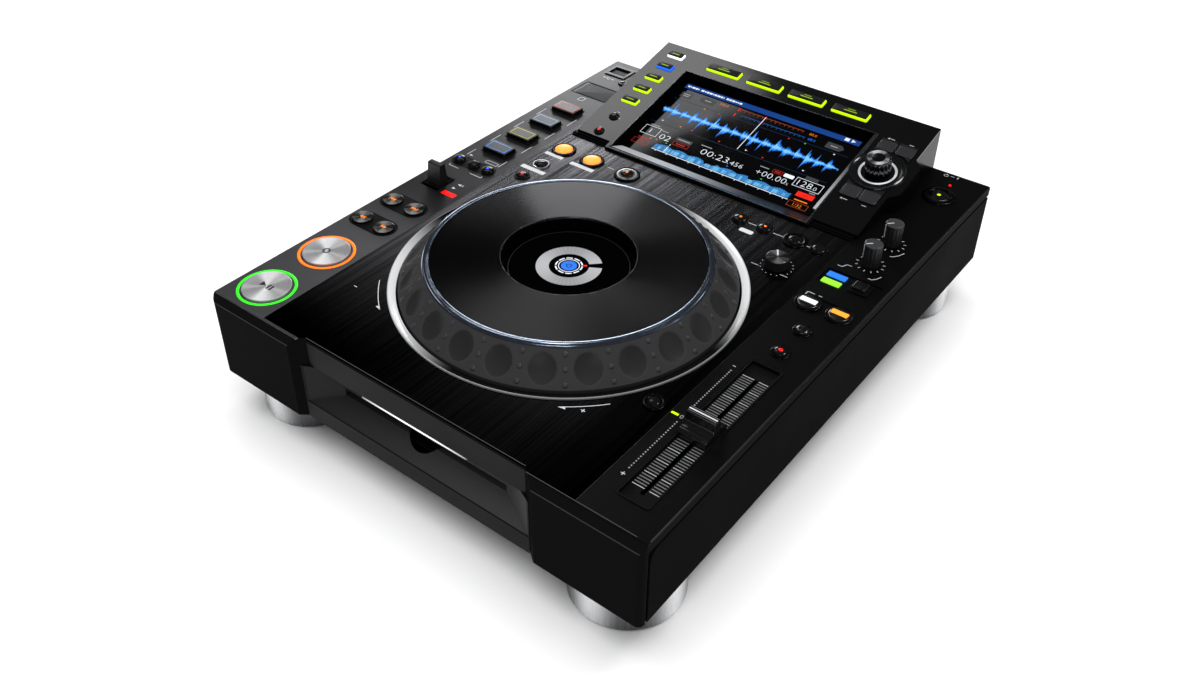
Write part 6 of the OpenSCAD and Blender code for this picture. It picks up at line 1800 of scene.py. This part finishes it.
class PLAYER_OT_tempo(bpy.types.Operator):
    """Makes the tempo fader, its scale in the recess and the dotted scale beside it"""

    bl_idname = "disc_player.tempo"
    bl_label = "Tempo fader"

    def execute(self, context):
        f = finishes()
        x0, x1 = node_box("tempo_slider")[0][0], node_box("tempo_slider")[1][0]
        mid = float(node_centre("tempo_slider")[1])
        # Side outline of the cap (along y, over the deck): a rounded lip in front, a tall ridge, a low tail
        t = np.linspace(0, 1, 9)[:, None]

        def bow(a, b, c):
            """Bend from a to c pulled towards b: (1 - t)^2 a + 2 t (1 - t) b + t^2 c."""
            a, b, c = (np.array(v, float) for v in (a, b, c))
            return (1 - t) ** 2 * a + 2 * t * (1 - t) * b + t**2 * c

        side = np.concatenate([
            bow((-10.3, 1.4), (-10.2, 4.6), (-7.6, 4.4)), bow((-7.4, 4.35), (-3.4, 3.9), (-3.1, 7.4)),
            bow((-3.05, 7.6), (-2.6, 11.8), (-1.9, 11.98)), bow((1.9, 11.98), (2.6, 11.8), (3.05, 7.6)),
            bow((3.1, 7.4), (3.4, 4.2), (6.6, 3.7)), bow((6.8, 3.66), (10.2, 3.4), (10.3, 1.2)),
            [[10.3, -1.65], [-10.3, -1.65]],
        ])
        n = len(side)
        ends = [(x0, 0.25), (x0 + 0.25, 0.0), (x1 - 0.25, 0.0), (x1, 0.25)]
        centre = np.array([0.0, 3.0])
        inward = centre - side
        inward /= np.linalg.norm(inward, axis=1)[:, None]
        rows = []
        for x, small in ends:
            p = side + inward * small
            rows.append(np.stack([np.full(n, x), mid + p[:, 0], p[:, 1]], -1))
        faces = grid_faces(len(ends), n, close_v=True)
        faces += [list(range(n))[::-1], [(len(ends) - 1) * n + i for i in range(n)]]
        h = Heap().add(np.concatenate(rows), faces).slab(rect((x0 + x1) / 2, mid, 2.0, 6.0), -11.5, -1.2)
        h.own("tempo_cap", "tempo_slider", f.fader, 40, ("tempo_slider",))
        stripe = Heap().slab(rect((x0 + x1) / 2, mid, x1 - x0 - 0.3, 0.9), 11.9, 12.0)
        stripe.own("tempo_cap_line", "tempo_slider", f.print_white, 0)
        lines = Heap()
        for y in (-1.55, 1.55):
            lines.slab(rect((x0 + x1) / 2, mid + y, x1 - x0 - 0.5, 0.35), 11.9, 11.995)
        lines.own("tempo_cap_edges", "tempo_slider", f.tick_grey, 0)

        major, minor = Heap(), Heap()
        sunk = (-2.05, -1.94)
        for k in range(51):
            y = -73.0 - 2.06 * k
            heap, w = (major, 0.42) if k % 5 == 0 else (minor, 0.62)
            heap.bars(sunk, (133.0, y, 7.4, w), (142.9, y, 6.4, w))
        major.fix("tempo_scale_major", f.tick_white, "tempo_track", 0)
        minor.fix("tempo_scale_minor", f.tick_grey, "tempo_track", 0)
        rim = Heap().frame(outline_box(20.9, 128.6, 2.0, 6, 137.7, -124.3), 0.3, 0.0, 0.36)
        rim.fix("tempo_rim", f.collar, "tempo_track", 0)

        dots = Heap()
        for k in range(22):
            dots.bars(PRINT, (123.4, -76.0 - 2.0 * k, 0.75, 0.6), (123.4, -128.6 - 2.0 * k, 0.75, 0.6))
        dots.bars(PRINT, (123.0, -71.8, 2.0, 0.45), (123.3, -175.6, 2.6, 0.5))
        dots.slab(rect(123.3, -175.6, 0.5, 2.6), -0.02, 0.055)
        dots.slab(rect(126.6, -123.7, 2.2, 0.45), *PRINT)
        numerals(dots, "0", 123.2, -125.3, 3.2, *PRINT, middle=True)
        dots.fix("tempo_dots", f.tick_white, "top_case", 0)
        led = Heap().slab(outline_box(4.4, 1.5, 0.2, 2, 118.9, -123.7), -0.1, 0.2, 0.06, 1)
        led.fix("tempo_lamp", f.lamp_lime, "light_guides", 0)
        return {"FINISHED"}


class PLAYER_OT_plate_prints(bpy.types.Operator):
    """Prints the plate: arrows beside the jog wheel, label bars, joining lines, the bright cut edges and painted
    highlight lines along the front edges
    """

    bl_idname = "disc_player.plate_prints"
    bl_label = "Plate prints"

    def execute(self, context):
        f = finishes()
        white = Heap()
        for x, y, w, h in ((-102.3, 46.3, 15.6, 3.4), (-76.8, 45.8, 20.0, 3.7), (-101.6, 22.0, 20.6, 3.9)):
            white.slab(outline_box(w, h, 0.6, 3, x, y), *PRINT)
        white.fix("loop_labels", f.label_grey, "deck_plate", 0)
        white = Heap().slab(outline_box(9.8, 4.0, 1.2, 4, 57.0, 47.8), *PRINT)
        for a0, a1, tip in ((-141.2, -126.6, -126.6), (-54.0, -40.4, -54.0)):
            white.arc(JOG_X, JOG_Y, 114.9, 115.35, a0, a1, *PRINT, 24)
            out = ray(tip)
            c = np.array([JOG_X, JOG_Y]) + 115.1 * out
            way = np.array([-out[1], out[0]]) * (1 if tip < -100 else -1)
            corners = [c - way * 3.4 + out * 0.2, c + way * 0.8, c - way * 3.4 + out * 1.9]
            white.slab(corners if tip < -100 else corners[::-1], *PRINT)
        white.bars(PRINT, (-96.5, -150.0, 2.4, 0.5), (79.6, -152.0, 2.6, 0.5))
        white.slab(rect(79.6, -152.0, 0.5, 2.6), *PRINT_OVER)
        for a, b in (
            ((53.0, 57.2), (59.2, 57.4)), ((71.8, 56.6), (78.8, 56.8)), ((96.3, 56.8), (99.0, 56.9)),
            ((-62.5, 57.0), (-57.0, 57.0)),
        ):
            white.line(a, b, 0.4, *PRINT)
        white.fix("plate_prints", f.print_white, "deck_plate", 0)

        edge = Heap()
        for x in (PLATE_LEFT - 0.1, PLATE_RIGHT + 0.1):
            edge.slab(rect(x, -60.5, 0.35, 287.0), -0.1, 0.06)
        edge.fix("plate_edges", f.edge_light, "deck_plate", 0)
        # Painted highlight lines along the front edges of the deck
        front = Heap().slab(rect(0.0, -201.55, 164.0, 0.45), -0.1, 0.05)
        for s in (-1, 1):
            front.slab(rect(119.0 * s, -204.6, 68.0, 0.45), -0.1, 0.05)
        front.fix("front_edges", f.case_edge, "top_case", 0)
        rim = Heap()
        for s in (-1, 1):
            top, low = [159.32 * s, -0.06], [159.9 * s, -0.64]
            a = np.array([(x, y, z) for (x, z), y in ((top, -203.0), (low, -203.0), (low, 197.0), (top, 197.0))])
            rim.block(a - np.array([0.1 * s, 0, 0.1]), a + np.array([0.03 * s, 0.0, 0.03]))
        rim.fix("deck_edges", f.edge_light, "top_case", 0)
        return {"FINISHED"}


# ---------------------------------------------------------------- settings


class DiscPlayerLooks(bpy.types.PropertyGroup):
    """Colours and finishes of the player"""

    case_colour: FloatVectorProperty(
        name="Case colour", description="Colour of the satin black case", subtype="COLOR", default=rgb(15, 15, 16)
    )
    case_rough: FloatProperty(
        name="Case roughness", description="Roughness of the satin black case", default=0.46, min=0, max=1,
        subtype="FACTOR",
    )
    strip_colour: FloatVectorProperty(
        name="Strip colour", description="Colour of the satin strips beside the plate", subtype="COLOR", default=rgb(
            62, 62, 64
        )
    )
    plate_colour: FloatVectorProperty(
        name="Plate colour", description="Colour of the brushed black deck plate", subtype="COLOR", default=rgb(
            74, 74, 76
        )
    )
    jog_colour: FloatVectorProperty(
        name="Jog colour", description="Colour of the spun black jog top", subtype="COLOR", default=rgb(92, 92, 94)
    )
    play_light: FloatVectorProperty(
        name="Play light", description="Colour of the ring round the play button", subtype="COLOR", default=rgb(
            45, 215, 30
        )
    )
    cue_light: FloatVectorProperty(
        name="Cue light", description="Colour of the ring round the cue button", subtype="COLOR", default=rgb(
            250, 110, 15
        )
    )
    lamp_power: FloatProperty(name="Lamp power", description="How strongly lamps glow", default=1.6, min=0, max=20)


class DiscPlayerStage(bpy.types.PropertyGroup):
    """Camera, floor and light"""

    azimuth: FloatProperty(
        name="Azimuth", description="Camera's turn about the player", default=math.radians(37.75), subtype="ANGLE"
    )
    elevation: FloatProperty(
        name="Elevation", description="Camera's height angle", default=math.radians(36.25), subtype="ANGLE"
    )
    roll: FloatProperty(name="Roll", description="Camera's roll", default=math.radians(0.29), subtype="ANGLE")
    place: FloatVectorProperty(
        name="Place", description="Where the camera stands", subtype="TRANSLATION", unit="LENGTH", default=(
            0.35805, -0.5077, 0.50098
        )
    )
    lens: FloatProperty(name="Lens", description="Focal length in millimetres", default=34.66)
    sun_power: FloatProperty(name="Sky light", description="Strength of the broad light from above", default=3.9, min=0)
    world_power: FloatProperty(
        name="Room light", description="Strength of the even light of the room", default=0.035, min=0
    )
    box_power: FloatProperty(name="Softboxes", description="Strength of the softboxes, as a factor", default=1.0, min=0)


# Softboxes: name, radiance, place, what it faces, width, height and turn in degrees about its own axis
SOFTBOXES = (
    ("back_softbox", 7.0, (-1.2, 1.5, 0.69), (0, 0, 0.1), 0.45, 0.45, 0.0),
    ("sheen_softbox", 2.0, (-1.745, 1.5, 2.395), (-1.745, 0.0, 2.395), 1.4, 0.4, 42.6),
    ("left_rim_softbox", 3.5, (-1.95, 1.5, 0.45), (0, 0, 0.1), 0.7, 0.25, 0.0),
    ("front_softbox", 4.0, (1.2, -2.2, 1.3), (0, 0, 0.1), 0.9, 0.5, 0.0),
    ("key_softbox", 12.0, (0.9, 0.9, 2.0), (0, 0, 0.1), 0.4, 0.4, 0.0),
    ("right_softbox", 0.6, (2.4, 0.8, 1.2), (0, 0, 0.1), 1.4, 0.8, 0.0),
)


# ---------------------------------------------------------------- operators


def finishes():
    """The shared set of materials."""
    return _FINISHES["set"]


_FINISHES = {}


class PLAYER_OT_finishes(bpy.types.Operator):
    """Gives every CAD node its finish"""

    bl_idname = "disc_player.finishes"
    bl_label = "Finishes"

    def execute(self, context):
        _FINISHES["set"] = Finishes(context.scene.disc_player_looks)
        for name, obj in frame["nodes"].items():
            material = getattr(finishes(), NODE_FINISH[name])
            if not obj.data.materials:
                obj.data.materials.append(material)
            for slot in obj.material_slots:
                slot.material = material
        return {"FINISHED"}


class PLAYER_OT_stage(bpy.types.Operator):
    """Sets the floor, the light and the camera"""

    bl_idname = "disc_player.stage"
    bl_label = "Stage"

    def execute(self, context):
        scene = context.scene
        s = scene.disc_player_stage
        scene.view_settings.view_transform = "Standard"
        world = scene.world or bpy.data.worlds.new("room")
        scene.world = world
        world.use_nodes = True
        world.node_tree.nodes["Background"].inputs[0].default_value = (0.97, 0.985, 1.0, 1.0)
        world.node_tree.nodes["Background"].inputs[1].default_value = s.world_power

        floor = bpy.data.meshes.new("floor")
        floor.from_pydata([(-9, -9, 0), (9, -9, 0), (9, 9, 0), (-9, 9, 0)], [], [(0, 1, 2, 3)])
        pale = Paint("pale floor", (0.9, 0.9, 0.9), 0.85, 0.0, 0.1)
        pale.set(Roughness=pale.noise(4.0).ramp(0.3, 0.7, 0.8, 0.9))
        floor.materials.append(pale.material)
        floor = bpy.data.objects.new("floor", floor)
        scene.collection.objects.link(floor)
        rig.stage(floor)

        def light(name, kind, power, place, aim, seen=True, turn=0.0, **more):
            data = bpy.data.lights.new(name, kind)
            data.energy = power
            for key, value in more.items():
                setattr(data, key, value)
            obj = bpy.data.objects.new(name, data)
            look = (Vector(aim) - Vector(place)).to_track_quat("-Z", "Y").to_matrix().to_4x4()
            obj.matrix_world = Matrix.Translation(place) @ look @ Matrix.Rotation(turn, 4, "Z")
            obj.visible_glossy = seen
            scene.collection.objects.link(obj)
            return obj

        light("sky", "SUN", s.sun_power, (0, 0, 3), (0, 0.15, 0), seen=False, angle=math.radians(75))
        for name, glow, place, aim, w, h, turn in SOFTBOXES:
            light(
                name, "AREA", glow * s.box_power * math.pi * w * h, place, aim, turn=math.radians(turn),
                shape="RECTANGLE", size=w, size_y=h,
            )

        a, e, r = s.azimuth, s.elevation, s.roll
        right = Vector((math.cos(a), math.sin(a), 0))
        back = Vector((math.sin(a) * math.cos(e), -math.cos(a) * math.cos(e), math.sin(e)))
        up = back.cross(right)
        x = right * math.cos(r) + up * math.sin(r)
        y = back.cross(x)
        m = Matrix((x, y, back)).transposed().to_4x4()
        m.translation = Vector(s.place)
        data = bpy.data.cameras.new("camera")
        data.lens = s.lens
        data.sensor_width = 36.0
        data.shift_x, data.shift_y = 0.0098, -0.0445
        data.clip_start, data.clip_end = 0.01, 50
        camera = bpy.data.objects.new("camera", data)
        camera.matrix_world = m
        scene.collection.objects.link(camera)
        scene.camera = camera
        return {"FINISHED"}


PIECES = [v for k, v in list(globals().items()) if k.startswith("PLAYER_OT_")]
OPERATORS = sorted(PIECES, key=lambda op: op is not PLAYER_OT_finishes)


class PLAYER_PT_panel(bpy.types.Panel):
    """Lists the player's pieces and settings"""

    bl_idname = "PLAYER_PT_panel"
    bl_label = "Disc player"
    bl_space_type = "VIEW_3D"
    bl_region_type = "UI"
    bl_category = "Disc player"

    def draw(self, context):
        for group in (context.scene.disc_player_looks, context.scene.disc_player_stage):
            box = self.layout.box()
            for key in group.bl_rna.properties.keys():
                if key not in ("rna_type", "name"):
                    box.prop(group, key)
        for op in OPERATORS:
            self.layout.operator(op.bl_idname)


CLASSES = [DiscPlayerLooks, DiscPlayerStage, *OPERATORS, PLAYER_PT_panel]


def register():
    """Registers the classes and their settings."""
    for c in CLASSES:
        bpy.utils.register_class(c)
    bpy.types.Scene.disc_player_looks = PointerProperty(type=DiscPlayerLooks)
    bpy.types.Scene.disc_player_stage = PointerProperty(type=DiscPlayerStage)


def unregister():
    """Takes the classes and settings away."""
    del bpy.types.Scene.disc_player_stage
    del bpy.types.Scene.disc_player_looks
    for c in reversed(CLASSES):
        bpy.utils.unregister_class(c)


def main():
    """Registers the add-on, makes every piece and writes the two boxes."""
    register()
    for op in OPERATORS:
        group, name = op.bl_idname.split(".")
        getattr(getattr(bpy.ops, group), name)()
    boxes = {"cad": CAD_BOX, "visual": [[float(c) for c in v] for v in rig.bounds()]}
    json.dump(boxes, open("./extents.json", "w"))


if __name__ == "__main__":
    main()
